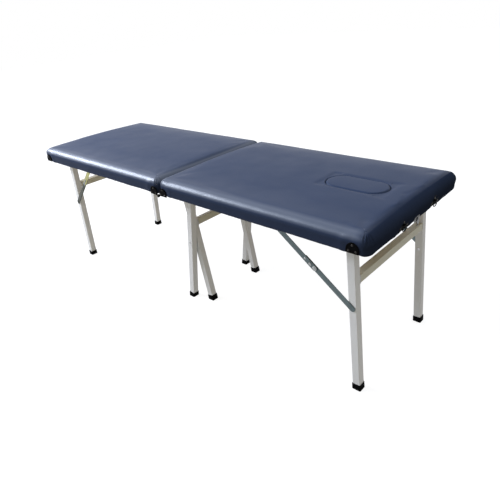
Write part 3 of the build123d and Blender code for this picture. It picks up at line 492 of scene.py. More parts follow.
PLATE_SPOTS = [(half * x, side * HALF_WIDTH)
               for half in BOTH for side in BOTH for x in (HINGE_PLATE_X, CATCH_PLATE_X[half])]
PLATE_SPOTS += [(REACH[1], side * RING_PLATE_Y + shift)
                for side in BOTH for shift in (-0.013, 0.013)]


def cushion_shell(half, hole):
    """Open skin over one half: crowned top, rounded edges, sides and a turned-in hem."""
    middle = half * (REACH[half] + 0.001) / 2
    length = REACH[half] - 0.001
    height = SHOULDER - COVER_BOTTOM
    bm = block(length, 2 * HALF_WIDTH, height, low=COVER_BOTTOM)
    bmesh.ops.translate(bm, vec=(middle, 0, 0), verts=bm.verts)
    upright = [e for e in bm.edges if abs(e.verts[0].co.z - e.verts[1].co.z) > 0.01]
    bevel(bm, upright, PLAN_RADIUS, 12)
    bevel(bm, edges_where(bm, lambda co: co.z > SHOULDER - 1e-5), EDGE_RADIUS, 7)
    bevel(bm, edges_where(bm, lambda co: co.z < COVER_BOTTOM + 1e-5), BOTTOM_RADIUS, 4)
    floor_faces = [f for f in bm.faces if all(v.co.z < COVER_BOTTOM + 1e-5 for v in f.verts)]
    bmesh.ops.delete(bm, geom=floor_faces, context="FACES")
    hem_edges = [e for e in bm.edges if e.is_boundary]
    extruded = bmesh.ops.extrude_edge_only(bm, edges=hem_edges)
    inner_x = (length / 2 - HEM) / (length / 2 - BOTTOM_RADIUS)
    inner_y = (HALF_WIDTH - HEM) / (HALF_WIDTH - BOTTOM_RADIUS)
    for v in verts_of(extruded):
        v.co.x = middle + (v.co.x - middle) * inner_x
        v.co.y *= inner_y
    cut(bm, (1, 0, 0), steps(middle - length / 2 + PLAN_RADIUS, middle + length / 2 - PLAN_RADIUS, CELL))
    cut(bm, (0, 1, 0), steps(-HALF_WIDTH + PLAN_RADIUS, HALF_WIDTH - PLAN_RADIUS, CELL))
    cut(bm, (0, 0, 1), [COVER_BOTTOM + height * k / 8 for k in range(2, 4)])
    if hole:
        lip_radius = HOLE_WIDTH / 2
        straight = HOLE_LENGTH / 2 - lip_radius
        room = lip_radius + CELL * 1.1

        def inside(point):
            along = max(0, abs(point.x - HOLE_X) - straight)
            return along * along + point.y * point.y < room * room

        gone = [f for f in bm.faces if f.normal.z > 0.9 and any(inside(v.co) for v in f.verts)]
        bmesh.ops.delete(bm, geom=gone, context="FACES")
        ragged = [e for e in bm.edges if e.is_boundary and e.verts[0].co.z > SHOULDER - 0.01]
        lip = stadium(HOLE_LENGTH + 2 * LIP, HOLE_WIDTH + 2 * LIP, 16)
        ring = [bm.verts.new((x, y, SHOULDER)) for x, y in lip]
        edges = [bm.edges.new((a, b)) for a, b in zip(ring, ring[1:] + ring[:1])]
        bmesh.ops.bridge_loops(bm, edges=ragged + edges)
        for inset, drop in LIP_PROFILE:
            lip_wall = bmesh.ops.extrude_edge_only(bm, edges=edges)
            places = stadium(HOLE_LENGTH + 2 * LIP - 2 * inset, HOLE_WIDTH + 2 * LIP - 2 * inset, 16)
            for v in verts_of(lip_wall):
                x, y = min(places, key=lambda p: (p[0] - v.co.x) ** 2 + (p[1] - v.co.y) ** 2)
                v.co = (x, y, SHOULDER - drop)
            edges = edges_of(lip_wall["geom"])
    for v in bm.verts:
        v.co.z += crown(v.co.y) * clamp((v.co.z - COVER_BOTTOM) / height) ** 2
    face_outward(bm)
    if top_face(bm).normal.z < 0:
        bmesh.ops.reverse_faces(bm, faces=bm.faces)
    return bm


def swell(data, pinned):
    """Blow the skin up as cloth, hold it where it is fixed, and cap how far it may move."""
    work = add_object("swelling", data.copy())
    work.vertex_groups.new(name="fixed").add(pinned, 1.0, "REPLACE")
    cloth = work.modifiers.new("cloth", "CLOTH")
    cloth.settings.vertex_group_mass = "fixed"
    for setting, value in CLOTH.items():
        setattr(cloth.settings, setting, value)
    cloth.settings.effector_weights.gravity = 0
    cloth.collision_settings.use_collision = False
    cloth.point_cache.frame_start = 1
    cloth.point_cache.frame_end = CLOTH_FRAMES
    for number in range(1, CLOTH_FRAMES + 1):
        scene.frame_set(number)
    shaped = work.evaluated_get(bpy.context.evaluated_depsgraph_get())
    moved = [v.co.copy() for v in shaped.data.vertices]
    bpy.data.objects.remove(work)
    scene.frame_set(1)
    normals = [v.normal.copy() for v in data.vertices]
    for v, normal, place in zip(data.vertices, normals, moved):
        shift = place - v.co
        shift -= normal * min(0, shift.dot(normal))
        if shift.length > CLOTH_REACH:
            shift *= CLOTH_REACH / shift.length
        v.co += shift


def drape(half, place):
    """How far the vinyl stands out: gathers at corners, dimples at plates, puckers over staples."""
    share = clamp((place.z - COVER_BOTTOM) / (SHOULDER - COVER_BOTTOM))
    height = place.z - crown(place.y) * share ** 2
    near_fold = half * place.x < REACH[half] / 2
    corner_x = (0.001 + PLAN_RADIUS) if near_fold else (REACH[half] - PLAN_RADIUS)
    past_corner = (half * place.x - corner_x) * (corner_x - 0.45) > 0
    out_x = abs(half * place.x - corner_x) if past_corner else 0
    out_y = max(0, abs(place.y) - (HALF_WIDTH - PLAN_RADIUS))
    offset = 0.0009 * (noise.noise(place * 7.0) + 0.5 * noise.noise(place * 17.0))
    if out_x > 0.001 and out_y > 0.001:
        angle = atan2(out_y, out_x)
        fade = clamp((height - FOLD_FOOT) / 0.014) * clamp((hypot(out_x, out_y) - 0.006) / 0.012)
        for number, fold in enumerate(FOLD_ANGLES):
            sway = 0.10 * sin(height * 150 + number * 2.1 + 3 * half)
            lean = fold + sway * (0.62 - height) / 0.04
            depth = FOLD_DEPTH * (1.0 - 0.22 * (number % 2))
            offset -= depth * fade * exp(-((angle - lean) / FOLD_WIDTH) ** 2)
            offset += 0.35 * depth * fade * exp(-((angle - lean - 1.9 * FOLD_WIDTH) / FOLD_WIDTH) ** 2)
    for x, y in PLATE_SPOTS:
        if x * half > 0:
            reach = hypot(place.x - x, place.y - y, place.z - PLATE_MIDDLE_Z)
            offset -= DIMPLE_DEPTH * exp(-(reach / DIMPLE_RADIUS) ** 4)
            offset += PUFF_HEIGHT * exp(-((reach - PUFF_RADIUS) / PUFF_WIDTH) ** 2)
    # The foam swells over the rim's edge, most of all at the ends.
    swollen = clamp((height - 0.576) / 0.014) * clamp((0.622 - height) / 0.020)
    if half * place.x > REACH[half] - 0.02:
        offset += swollen * END_SWELL
    elif out_y > 0.012:
        offset += swollen * CORNER_SWELL
    run = place.x if abs(place.y) > HALF_WIDTH - 0.02 else place.y
    low = max(0, 1 - (place.z - COVER_BOTTOM) / 0.022)
    offset += PUCKER_HEIGHT * low * sin(2 * pi * run / PUCKER_PITCH + 1.3 * noise.noise(place * 11))
    return offset


def mesh_after_modifiers(thing):
    """The mesh that an object's modifiers or bevel give; the object itself is removed."""
    evaluated = thing.evaluated_get(bpy.context.evaluated_depsgraph_get())
    data = bpy.data.meshes.new_from_object(evaluated)
    bpy.data.objects.remove(thing)
    return data


def make_cushion(half_name, half):
    name = f"{half_name}_cushion"
    has_hole = half_name == "head"
    data = mesh_from(cushion_shell(half, has_hole), name)

    def is_fixed(place):
        near_hole = has_hole and abs(place.y) < 0.066 and abs(place.x - HOLE_X) < 0.125
        return near_hole or place.z < COVER_BOTTOM + 0.007

    swell(data, [v.index for v in data.vertices if is_fixed(v.co)])
    coarse = add_object("coarse", data)
    finer = coarse.modifiers.new("finer", "SUBSURF")
    finer.levels = finer.render_levels = 1
    shaped = mesh_after_modifiers(coarse)
    shaped.name = name
    normals = [v.normal.copy() for v in shaped.vertices]
    for v, normal in zip(shaped.vertices, normals):
        v.co += normal * drape(half, v.co)
    shaped.materials.append(VINYL)
    shaped.shade_smooth()
    piece = add_object(name, shaped)
    thick = piece.modifiers.new("thick", "SOLIDIFY")
    thick.thickness = VINYL_THICKNESS
    thick.offset = -1
    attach(piece, f"{half_name}_half")
    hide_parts(f"{half_name}_cover", f"{half_name}_foam")


def make_plug():
    """The lift-out plug's pad: a stadium block with rolled edges and a crowned top."""
    gap, cell = 0.0016, 0.006
    bm = bmesh.new()
    low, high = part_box("plug_pad")
    outline = stadium(HOLE_LENGTH - gap, HOLE_WIDTH - gap, 20)
    base = bm.faces.new([bm.verts.new((x, y, low.z)) for x, y in outline])
    lift(bm, high.z - low.z, verts_of(bmesh.ops.extrude_face_region(bm, geom=[base])))
    face_outward(bm)
    bevel(bm, edges_where(bm, lambda co: co.z > high.z - 1e-5), 0.006, 5)
    bevel(bm, edges_where(bm, lambda co: co.z < low.z + 1e-5), 0.0015, 2)
    cut(bm, (1, 0, 0), steps(low.x, high.x, cell))
    cut(bm, (0, 1, 0), steps(low.y, high.y, cell))
    for v in bm.verts:
        if v.co.z > high.z - 0.0005:
            along = max(0, abs(v.co.x - HOLE_X) - (HOLE_LENGTH - HOLE_WIDTH) / 2)
            reach = sqrt(along ** 2 + v.co.y ** 2) / (HOLE_WIDTH / 2)
            v.co.z += 0.0016 + 0.0014 * (1 - min(1, reach) ** 2)
    bmesh.ops.triangulate(bm, faces=[f for f in bm.faces if len(f.verts) > 4])
    piece = piece_from(bm, "plug_cushion", "face_plug", VINYL, ["plug_pad"], smooth=50)


# ---- Hardware: shapes that are made once and stamped where they are needed ----
TUBE = 0.028
UP = Vector((0, 0, 1))


def frame_at(origin, x_axis, z_axis):
    """Matrix with its origin there, its x along x_axis and its z along z_axis."""
    z_axis = Vector(z_axis).normalized()
    x_axis = Vector(x_axis).normalized()
    turn = Matrix((x_axis, z_axis.cross(x_axis), z_axis)).transposed()
    return Matrix.Translation(origin) @ turn.to_4x4()


def wall(side, u=0.0, v=0.0, out=0.0):
    """Frame on a long side's outer face: u along the table, v the height, out away from it."""
    return frame_at((-side * u, side * (HALF_WIDTH + 0.0002 + out), v), (-side, 0, 0), (0, side, 0))


def end_wall(half, u=0.0, v=0.0, out=0.0):
    """The same on an end's outer face."""
    return frame_at((half * (REACH[half] + 0.0002 + out), half * u, v), (0, half, 0), (half, 0, 0))


def sideways(x, y, z, side):
    """Frame whose z axis points out of the table's long side."""
    return frame_at((x, y, z), (1, 0, 0), (0, side, 0))


def slope_of(foot_x, pivot_x, pivot_z):
    return Vector((pivot_x - foot_x, 0, pivot_z)).normalized()


def leg_frame(foot_x, y, pivot_x, pivot_z, rise=0.0):
    slope = slope_of(foot_x, pivot_x, pivot_z)
    return frame_at(Vector((foot_x, y, 0)) + slope * rise, (0, 1, 0), slope)


def shape_of(bm):
    """Close off a bmesh as a mesh that can be stamped many times."""
    face_outward(bm)
    return mesh_from(bm, "shape")


def stamp(name, body, paint, stamps, replaces=(), smooth=35):
    """One piece from (shape, place) pairs."""
    bm = bmesh.new()
    for shape, place in stamps:
        copy = shape.copy()
        copy.transform(place)
        bm.from_mesh(copy)
        bpy.data.meshes.remove(copy)
    return piece_from(bm, name, body, paint, replaces, smooth)


def block(x, y, z, low=0.0):
    """Block centred in x and y that starts at z = low."""
    bm = bmesh.new()
    bmesh.ops.create_cube(bm, size=1)
    bmesh.ops.scale(bm, vec=(x, y, z), verts=bm.verts)
    lift(bm, low + z / 2)
    return bm


def drum(segments, radius, height, taper=1.0):
    """Cylinder or prism that stands on z = 0."""
    bm = bmesh.new()
    bmesh.ops.create_cone(bm, cap_ends=True, segments=segments, radius1=radius,
                          radius2=radius * taper, depth=height)
    lift(bm, height / 2)
    return bm


def upright_edges(bm, test=lambda co: True):
    found = []
    for e in bm.edges:
        a, b = e.verts[0].co, e.verts[1].co
        if abs(a.x - b.x) < 1e-6 and abs(a.y - b.y) < 1e-6 and test(a):
            found.append(e)
    return found


def rim_edges(bm, z):
    """Edges at that height between a level face and an upright one."""
    return [e for e in edges_where(bm, lambda co: abs(co.z - z) < 1e-6)
            if len(e.link_faces) == 2 and any(abs(f.normal.z) < 0.5 for f in e.link_faces)]


def top_face(bm):
    return max(bm.faces, key=lambda f: f.calc_center_median().z)


def rounded_plate(x, y, z, radius, segments, soft=0.0005):
    """Plate with rounded corners and softened edges, standing on z = 0."""
    bm = block(x, y, z)
    bevel(bm, upright_edges(bm), radius, segments)
    bmesh.ops.remove_doubles(bm, verts=bm.verts, dist=2e-5)
    bm.normal_update()
    bevel(bm, rim_edges(bm, z) + rim_edges(bm, 0.0), soft, 2)
    return shape_of(bm)


def lathe(profile, count=28):
    """Solid of revolution about z from (radius, height) pairs."""
    bm = bmesh.new()
    verts = [bm.verts.new((r, 0, z)) for r, z in profile]
    edges = [bm.edges.new(pair) for pair in zip(verts, verts[1:])]
    bmesh.ops.spin(bm, geom=verts + edges, cent=(0, 0, 0), axis=(0, 0, 1), angle=2 * pi,
                   steps=count, use_merge=True)
    bmesh.ops.remove_doubles(bm, verts=bm.verts, dist=1e-6)
    return shape_of(bm)


def pin(radius, height):
    return lathe(((0.0, 0), (radius, 0), (radius, height), (0.0, height)), 20)


def disc(radius, height, inset=0.0002, soft=0.0002):
    """Washer-like disc with softened edges."""
    return lathe(((0.0, 0), (radius - inset, 0), (radius, soft), (radius, height - soft),
                  (radius - 0.0003, height), (0.0, height)))


def dome(radius, height, foot=0.0006):
    """Domed head on a short straight foot, sunk a little into what it sits on."""
    turns = [pi / 2 * k / 6 for k in range(6)]
    arc = [(radius * cos(t), foot + (height - foot) * sin(t)) for t in turns]
    return lathe([(0, -0.0004), (radius, -0.0004)] + arc + [(0, height)])


def cross_screw(radius, height):
    """Pan head with a cross recess."""
    bm = drum(20, radius, height)
    bevel(bm, rim_edges(bm, height), height * 0.45, 3)
    slot, reach = radius * 0.13, radius * 0.52
    for axis in ((1, 0, 0), (0, 1, 0)):
        cut(bm, axis, (-reach, -slot, slot, reach))
    bm.normal_update()
    arms = []
    for f in bm.faces:
        middle = f.calc_center_median()
        x, y = abs(middle.x), abs(middle.y)
        if f.normal.z > 0.9 and max(x, y) < reach and min(x, y) < slot:
            arms.append(f)
    lift(bm, -height * 0.5, verts_of(bmesh.ops.extrude_face_region(bm, geom=arms)))
    return shape_of(bm)


def hex_head(radius, height):
    """Bolt head or nut with six flats and a chamfered crown."""
    bm = drum(6, radius, height)
    bevel(bm, upright_edges(bm), 0.0003, 2)
    bm.normal_update()
    bevel(bm, rim_edges(bm, height), height * 0.18, 2)
    return shape_of(bm)


def socket_button(radius, height):
    """Low domed head with a six-sided socket."""
    bm = drum(24, radius, height * 0.4, 0.98)
    for inset, rise in ((0.17, 0.34), (0.17, 0.20), (0.17, 0.06), (0.05, -0.5)):
        bm.normal_update()
        bmesh.ops.inset_region(bm, faces=[top_face(bm)], thickness=radius * inset, depth=height * rise)
    return shape_of(bm)


SCREW = cross_screw(0.0036, 0.0016)
BOARD_SCREW = cross_screw(0.0040, 0.0020)
HEX = hex_head(0.0066, 0.0032)
WASHER = disc(0.0080, 0.0009)
SHANK = lathe(((0.0, -0.0040), (0.0036, -0.0040), (0.0039, -0.0036), (0.0039, 0.0), (0.0, 0.0)), 20)


# ---- Leg frames ----
END_FRAME = (0.853, 0.233, 0.812, 0.5695)          # foot x, leg y, pivot x, pivot z
CENTRE_FRAME = {"outer": (0.048, 0.1802, -0.0446, 0.568), "inner": (0.048, 0.1476, -0.0446, 0.568)}
END_RAIL_Z = 0.4205
INNER_RAIL_Z = 0.370


def rubber_cap():
    """Square cap with soft corners, a rolled lip at its mouth and two grooves round it."""
    bm = block(0.0324, 0.0324, 0.037, low=-0.014)
    bevel(bm, upright_edges(bm), 0.0040, 5)
    bm.normal_update()
    bevel(bm, rim_edges(bm, 0.023), 0.0013, 3)
    cut(bm, (0, 0, 1), (0.0062, 0.0068, 0.0078, 0.0084, 0.0128, 0.0134, 0.0144, 0.0150, 0.0185, 0.0192))
    for v in bm.verts:
        for low, high, shrink in ((0.0066, 0.0080, 0.965), (0.0132, 0.0146, 0.965), (0.0150, 0.0187, 0.982)):
            if low < v.co.z < high:
                v.co.x *= shrink
                v.co.y *= shrink
    return shape_of(bm)


def weld_bead(foot_x, leg_y, pivot_x, pivot_z, rail_z):
    """Stamps for the ripples of weld round both ends of a cross rail."""
    bead = bmesh.new()
    bmesh.ops.create_icosphere(bead, subdivisions=2, radius=0.0023)
    bead = shape_of(bead)
    slope = slope_of(foot_x, pivot_x, pivot_z)
    across = Vector((slope.z, 0, -slope.x))
    middle = Vector((foot_x + (pivot_x - foot_x) * rail_z / pivot_z, 0, rail_z))
    stamps = []
    per_edge, reach = 10, 0.0138
    for side in BOTH:
        for edge in range(4):
            for k in range(per_edge):
                along = (k + 0.5) / per_edge * 2 - 1
                a, b = ((along, 1), (1, -along), (-along, -1), (-1, along))[edge]
                wobble = 1 + 0.12 * noise.noise(Vector((edge * 3.1 + k * 0.7, side, rail_z * 9)))
                place = middle + slope * (a * reach) + across * (b * reach)
                place.y = side * (leg_y - TUBE / 2 - 0.0004)
                size = Matrix.Diagonal((wobble, 0.85 * wobble, wobble, 1))
                stamps.append((bead, Matrix.Translation(place) @ size))
    return stamps


def rest_on_floor(piece):
    """Trim a piece level with the floor and close the cut."""
    bm = bmesh.new()
    bm.from_mesh(piece.data)
    geometry = bm.verts[:] + bm.edges[:] + bm.faces[:]
    cut_edges = bmesh.ops.bisect_plane(bm, geom=geometry, plane_co=(0, 0, 0.0001), plane_no=(0, 0, 1),
                                       clear_inner=True, dist=1e-6)["geom_cut"]
    bmesh.ops.holes_fill(bm, edges=edges_of(cut_edges), sides=0)
    face_outward(bm)
    bm.to_mesh(piece.data)
    bm.free()
    piece.data.shade_smooth()
    piece.data.set_sharp_from_angle(angle=radians(35))


def make_frame_trim(body, half, sizes, cap_node):
    """Rubber caps and top plugs of one frame's two legs."""
    foot_x, leg_y, pivot_x, pivot_z = sizes
    places = [(half * foot_x, side * leg_y, half * pivot_x, pivot_z) for side in BOTH]
    caps = [(CAP_SHAPE, leg_frame(*place)) for place in places]
    rest_on_floor(stamp(f"{body}_rubber_caps", body, RUBBER, caps, [cap_node]))
    length = hypot(pivot_x - foot_x, pivot_z) + 0.010
    plugs = [(PLUG_SHAPE, leg_frame(*place, rise=length)) for place in places]
    stamp(f"{body}_tube_plugs", body, MOULDED, plugs)


CAP_SHAPE = rubber_cap()
PLUG_SHAPE = rounded_plate(0.0276, 0.0276, 0.0022, 0.0030, 4, 0.0006)


def make_end_frame(half_name, half):
    body = f"{half_name}_end_frame"
    foot_x, leg_y, pivot_x, pivot_z = END_FRAME
    make_frame_trim(body, half, END_FRAME, f"{half_name}_foot_caps")
    beads = weld_bead(half * foot_x, leg_y, half * pivot_x, pivot_z, END_RAIL_Z)
    stamp(f"{body}_welds", body, ENAMEL, beads, smooth=60)
    # Bolts for the stays' feet: a button head inboard, and the shank's end level with the leg.
    button = socket_button(0.0055, 0.0030)
    stay_x = foot_x - (foot_x - pivot_x) / pivot_z * STAY_FOOT_Z
    stamps = []
    for side in BOTH:
        for shape, away in ((button, -1), (SHANK, 1)):
            face = side * (leg_y + away * (TUBE / 2 + 0.0001))
            stamps.append((shape, sideways(half * stay_x, face, STAY_FOOT_Z, away * side)))
    stamp(f"{half_name}_stay_bolt_heads", body, BOLT, stamps, [f"{half_name}_stay_bolts"])


def make_centre_frames():
    for name, half in (("outer", -1), ("inner", 1)):
        make_frame_trim(f"{name}_frame", half, CENTRE_FRAME[name], f"{name}_foot_caps")
    foot_x, leg_y, pivot_x, pivot_z = CENTRE_FRAME["inner"]
    beads = weld_bead(foot_x, leg_y, pivot_x, pivot_z, INNER_RAIL_Z)
    stamp("inner_frame_welds", "inner_frame", ENAMEL, beads, smooth=60)
    head = dome(0.0055, 0.0026)
    washer = disc(0.0080, 0.0027, soft=0.0003)
    leg_y = CENTRE_FRAME["outer"][1]
    stamps = []
    for side in BOTH:
        stamps.append((head, sideways(0, side * (leg_y + TUBE / 2), CROSS_BOLT_Z, side)))
        stamps.append((washer, sideways(0, side * (leg_y - TUBE / 2), CROSS_BOLT_Z, -side)))
    stamp("cross_bolt_heads", "outer_frame", BOLT, stamps, ["cross_bolts"])


# ---- Folding stays ----
STAY_TOP_X = {1: 0.5015, -1: 0.585}
STAY_TOP_Z = 0.5695
STAY_FOOT_Z = 0.326
CROSS_BOLT_Z = 0.2944
STAY_JOINT_PLACE = {1: (0.69216, 0.42797), -1: (0.7012, 0.45379)}
STAY_WIDTH = 0.020
STAY_THICKNESS = 0.0025
LOWER_LINK_Y = 0.2478
UPPER_LINK_Y = 0.2509
STAY_OVERLAP = {1: 0.044, -1: 0.032}


def make_stays(half_name, half):
    foot_x, leg_y, pivot_x, pivot_z = END_FRAME
    foot = Vector((foot_x - (foot_x - pivot_x) / pivot_z * STAY_FOOT_Z, 0, STAY_FOOT_Z))
    top = Vector((STAY_TOP_X[half], 0, STAY_TOP_Z))
    joint_x, joint_z = STAY_JOINT_PLACE[half]
    joint = Vector((joint_x, 0, joint_z))
    along = (top - foot).normalized()
    lower_end = joint + along * STAY_OVERLAP[half]

    def on_stay(point, side, reach):
        """Frame on a link's outer face with x up the stay."""
        direction = Vector((half * along.x, 0, along.z))
        return frame_at((half * point.x, side * reach, point.z), direction, (0, side, 0))

    def link(start, end):
        length = (end - start).length + STAY_WIDTH
        return rounded_plate(length, STAY_WIDTH, STAY_THICKNESS, STAY_WIDTH / 2 - 2e-5, 10)

    lower = link(foot, lower_end)
    upper = link(joint, top)
    eye = dome(0.0064, 0.0005, 0.0002)      # flat, so that the folded upper link clears it
    lower_stamps, upper_stamps, rivet_stamps = [], [], []
    pivot_head = dome(0.0048, 0.0026, 0.0006)
    lock_head = dome(0.0042, 0.0022, 0.0004)
    catch = rounded_plate(0.0120, 0.0090, 0.0024, 0.0028, 5, 0.0008)
    ring = disc(0.0088, 0.0008)
    for side in BOTH:
        lower_stamps.append((lower, on_stay((foot + lower_end) / 2, side, LOWER_LINK_Y)))
        lower_stamps.append((eye, on_stay(foot, side, LOWER_LINK_Y + STAY_THICKNESS)))
        upper_stamps.append((upper, on_stay((joint + top) / 2, side, UPPER_LINK_Y)))
        face = UPPER_LINK_Y + STAY_THICKNESS
        for shape, point, height in ((ring, joint, 0), (pivot_head, joint, 0.0006), (lock_head, lower_end, 0),
                                     (catch, joint + along * 0.020, 0), (pivot_head, top, 0)):
            rivet_stamps.append((shape, on_stay(point, side, face + height)))
    # The foot half's lower bars are darkened as painted shade and its upper bars are yellowed as a painted
    # warm reflection; the head half's are plain zinc.
    paints = (SHADED_ZINC, WARM_REFLECTION_ZINC) if half_name == "foot" else (ZINC, ZINC)
    for level, paint, stamps in zip(("lower", "upper"), paints, (lower_stamps, upper_stamps)):
        links = f"{half_name}_{level}_links"
        stamp(f"{half_name}_{level}_bars", links, paint, stamps, [links])
    stamp(f"{half_name}_stay_rivets", f"{half_name}_upper_links", RIVET, rivet_stamps,
          [f"{half_name}_link_rivets"])


# ---- Plates, hinges and screws on the cushions ----
HINGE_PLATE = (0.042, 0.033, 0.0)      # width, height, and how far the foot is above PLATE_BOTTOM
CATCH_PLATE = (0.042, 0.033, 0.005)
END_PLATE = (0.060, 0.030, 0.011)
PLATE_STRAIGHT = 0.009                 # height above its foot at which a plate's arch starts
PLATE_DEPTH = 0.0026
PLATE_BOTTOM = 0.553
PLATE_RIM = 0.003
PLATE_EDGE = 0.0008                    # how far a plate's front edge is rounded off
RING_LUG_RISE = 0.0235
BRACKET_WALL = 0.0025
BRACKET_GAP = 0.0004                   # between a leg and the bracket's wall
BRACKET_SCREW_OUT = 0.0229             # from the leg's middle
STAY_SCREW_Y = 0.2623
SCREW_SHIFT = 0.0085
DECK_UNDERSIDE = 0.588
STAPLE_INSET = 0.0150
STAPLES_ALONG = 20
STAPLES_ACROSS = 13


def arch_plate(width, height, rise):
    """Arched plate with a raised rim, a sunk face and softened edges, standing on local x."""
    bm = bmesh.new()
    turns = [pi * k / 28 for k in range(29)]
    outline = [(width / 2 * cos(t), PLATE_STRAIGHT + (height - PLATE_STRAIGHT) * sin(t), 0) for t in turns]
    outline += [(-width / 2, 0, 0), (width / 2, 0, 0)]
    back = bm.faces.new([bm.verts.new(point) for point in outline])
    lift(bm, PLATE_DEPTH, verts_of(bmesh.ops.extrude_face_region(bm, geom=[back])))
    face_outward(bm)
    bevel(bm, upright_edges(bm, lambda co: co.y < 1e-5), 0.0022, 4)
    bmesh.ops.translate(bm, vec=(0, rise, 0), verts=bm.verts)
    bm.normal_update()
    bevel(bm, rim_edges(bm, PLATE_DEPTH), PLATE_EDGE, 3)
    bm.normal_update()
    face = max(bm.faces, key=lambda f: f.calc_area() * (f.normal.z > 0.9))
    bmesh.ops.inset_region(bm, faces=[face], thickness=PLATE_RIM - PLATE_EDGE, depth=0)
    bmesh.ops.inset_region(bm, faces=[face], thickness=0.0006, depth=-0.0010)
    return shape_of(bm)


def make_fittings(half_name, half):
    """Catch and hinge plates with their screws, the brackets' bolts and screws."""
    body = f"{half_name}_half"
    shapes = {size: arch_plate(*size) for size in (HINGE_PLATE, CATCH_PLATE, END_PLATE)}
    plates, leaves, screws = [], [], []

    def add_plate(group, place, size):
        width, height, rise = size
        group.append((shapes[size], place))
        spread = width / 2 - 0.0095
        for k, (u, v) in enumerate(((0, height - 0.0076), (-spread, 0.0076), (spread, 0.0076))):
            turn = Matrix.Rotation(0.5 + 1.3 * k + place.translation.x * 9, 4, "Z")
            screws.append((SCREW, place @ Matrix.Translation((u, rise + v, PLATE_DEPTH - 0.0010)) @ turn))

    for side in BOTH:
        add_plate(leaves, wall(side, -side * half * HINGE_PLATE_X, PLATE_BOTTOM), HINGE_PLATE)
        add_plate(plates, wall(side, -side * half * CATCH_PLATE_X[half], PLATE_BOTTOM), CATCH_PLATE)
    if half_name == "head":
        lug = rounded_plate(0.0080, 0.0076, 0.0068, 0.0024, 4, 0.0008)
        for side in BOTH:
            add_plate(plates, end_wall(1, side * RING_PLATE_Y, PLATE_BOTTOM), END_PLATE)
            plates.append((lug, end_wall(1, side * RING_PLATE_Y, PLATE_BOTTOM + RING_LUG_RISE, 0.0015)))
    ear = disc(0.0065, 0.0026, 0.0003, 0.0003)
    neck = rounded_plate(0.0140, 0.0052, PLATE_DEPTH, 0.0008, 3, 0.0004)
    step = rounded_plate(0.0060, 0.0052, 0.0055, 0.0008, 3, 0.0004)
    ear_out = 0 if half_name == "head" else 0.0029      # the foot half's ears lie over the head's
    for side in BOTH:
        u = -side * half
        leaves.append((ear, wall(side, 0, FOLD_HEIGHT, ear_out)))
        leaves.append((neck, wall(side, u * 0.0075, PLATE_BOTTOM + 0.0026, ear_out)))
        if half_name == "foot":
            leaves.append((step, wall(side, u * 0.0110, PLATE_BOTTOM + 0.0026)))
    stamp(f"{half_name}_hinge_plates", body, MOULDED, leaves, [f"{half_name}_hinge_leaves"])
    stamp(f"{half_name}_catch_plates", body, MOULDED, plates, [f"{half_name}_arch_plates"])
    stamp(f"{half_name}_screw_heads", body, DARK_SCREW, screws, [f"{half_name}_plate_screws"])

    # Hex bolts that the end frame swings on, and the screws that hold the brackets up.
    foot_x, leg_y, pivot_x, pivot_z = END_FRAME
    bolts = []
    for side in BOTH:
        for away in BOTH:
            reach = side * (leg_y + away * (TUBE / 2 + BRACKET_GAP + BRACKET_WALL + 0.0001))
            for shape, out in ((WASHER, 0), (HEX, 0.0008), (SHANK, 0)):
                place = sideways(half * pivot_x, reach + side * away * out, pivot_z, side * away)
                bolts.append((shape, place))
    stamp(f"{half_name}_pivot_bolts", body, BOLT, bolts, [f"{half_name}_leg_bolts"])
    centre_y = CENTRE_FRAME["outer" if half_name == "head" else "inner"][1]
    flanges = [(pivot_x, leg_y + away * BRACKET_SCREW_OUT) for away in BOTH]
    flanges += [(0.0446, centre_y + away * BRACKET_SCREW_OUT) for away in BOTH]
    flanges += [(STAY_TOP_X[half], STAY_SCREW_Y)]
    holding = []
    for x, y in flanges:
        for side in BOTH:
            for shift in (-SCREW_SHIFT, SCREW_SHIFT):
                place = Vector((half * x + shift, side * y, DECK_UNDERSIDE - BRACKET_WALL))
                turn = x * 31 + shift * 900
                holding.append((BOARD_SCREW, frame_at(place, (cos(turn), sin(turn), 0), -UP)))
    stamp(f"{half_name}_bracket_screws", body, BOLT, holding)


def make_staples(half_name, half):
    """Staples that hold the vinyl's turned-in hem under the rim."""
    bar = rounded_plate(0.0105, 0.0013, 0.0006, 0.0004, 2, 0.0001)
    low, high = 0.0155, REACH[half] - STAPLE_INSET
    inset = HALF_WIDTH - STAPLE_INSET
    spots = []
    for side in BOTH:
        for k in range(STAPLES_ALONG):
            spots.append((low + (high - low) * (k + 0.5) / STAPLES_ALONG, side * inset, 0.0))
    for x in (low, high):
        for k in range(STAPLES_ACROSS):
            spots.append((x, -inset + 2 * inset * (k + 0.5) / STAPLES_ACROSS, pi / 2))
    stamps = []
    for number, (x, y, turn) in enumerate(spots):
        skew = 0.22 * noise.noise(Vector((number * 0.91, half, 0.3)))
        place = Matrix.Translation((half * x, y, COVER_BOTTOM - 0.0004))
        stamps.append((bar, place @ Matrix.Rotation(turn + skew, 4, "Z")))
    stamp(f"{half_name}_staples", f"{half_name}_half", BRIGHT, stamps)


def make_hinge_pins():
    head = dome(0.0048, 0.0018, 0.0005)
    shank = pin(0.0030, 0.0060)
    stamps = []
    for side in BOTH:
        stamps.append((shank, wall(side, 0, FOLD_HEIGHT)))
        stamps.append((head, wall(side, 0, FOLD_HEIGHT, 0.0058)))
    stamp("hinge_rivets", "head_half", DARK_SCREW, stamps, ["hinge_pins"])


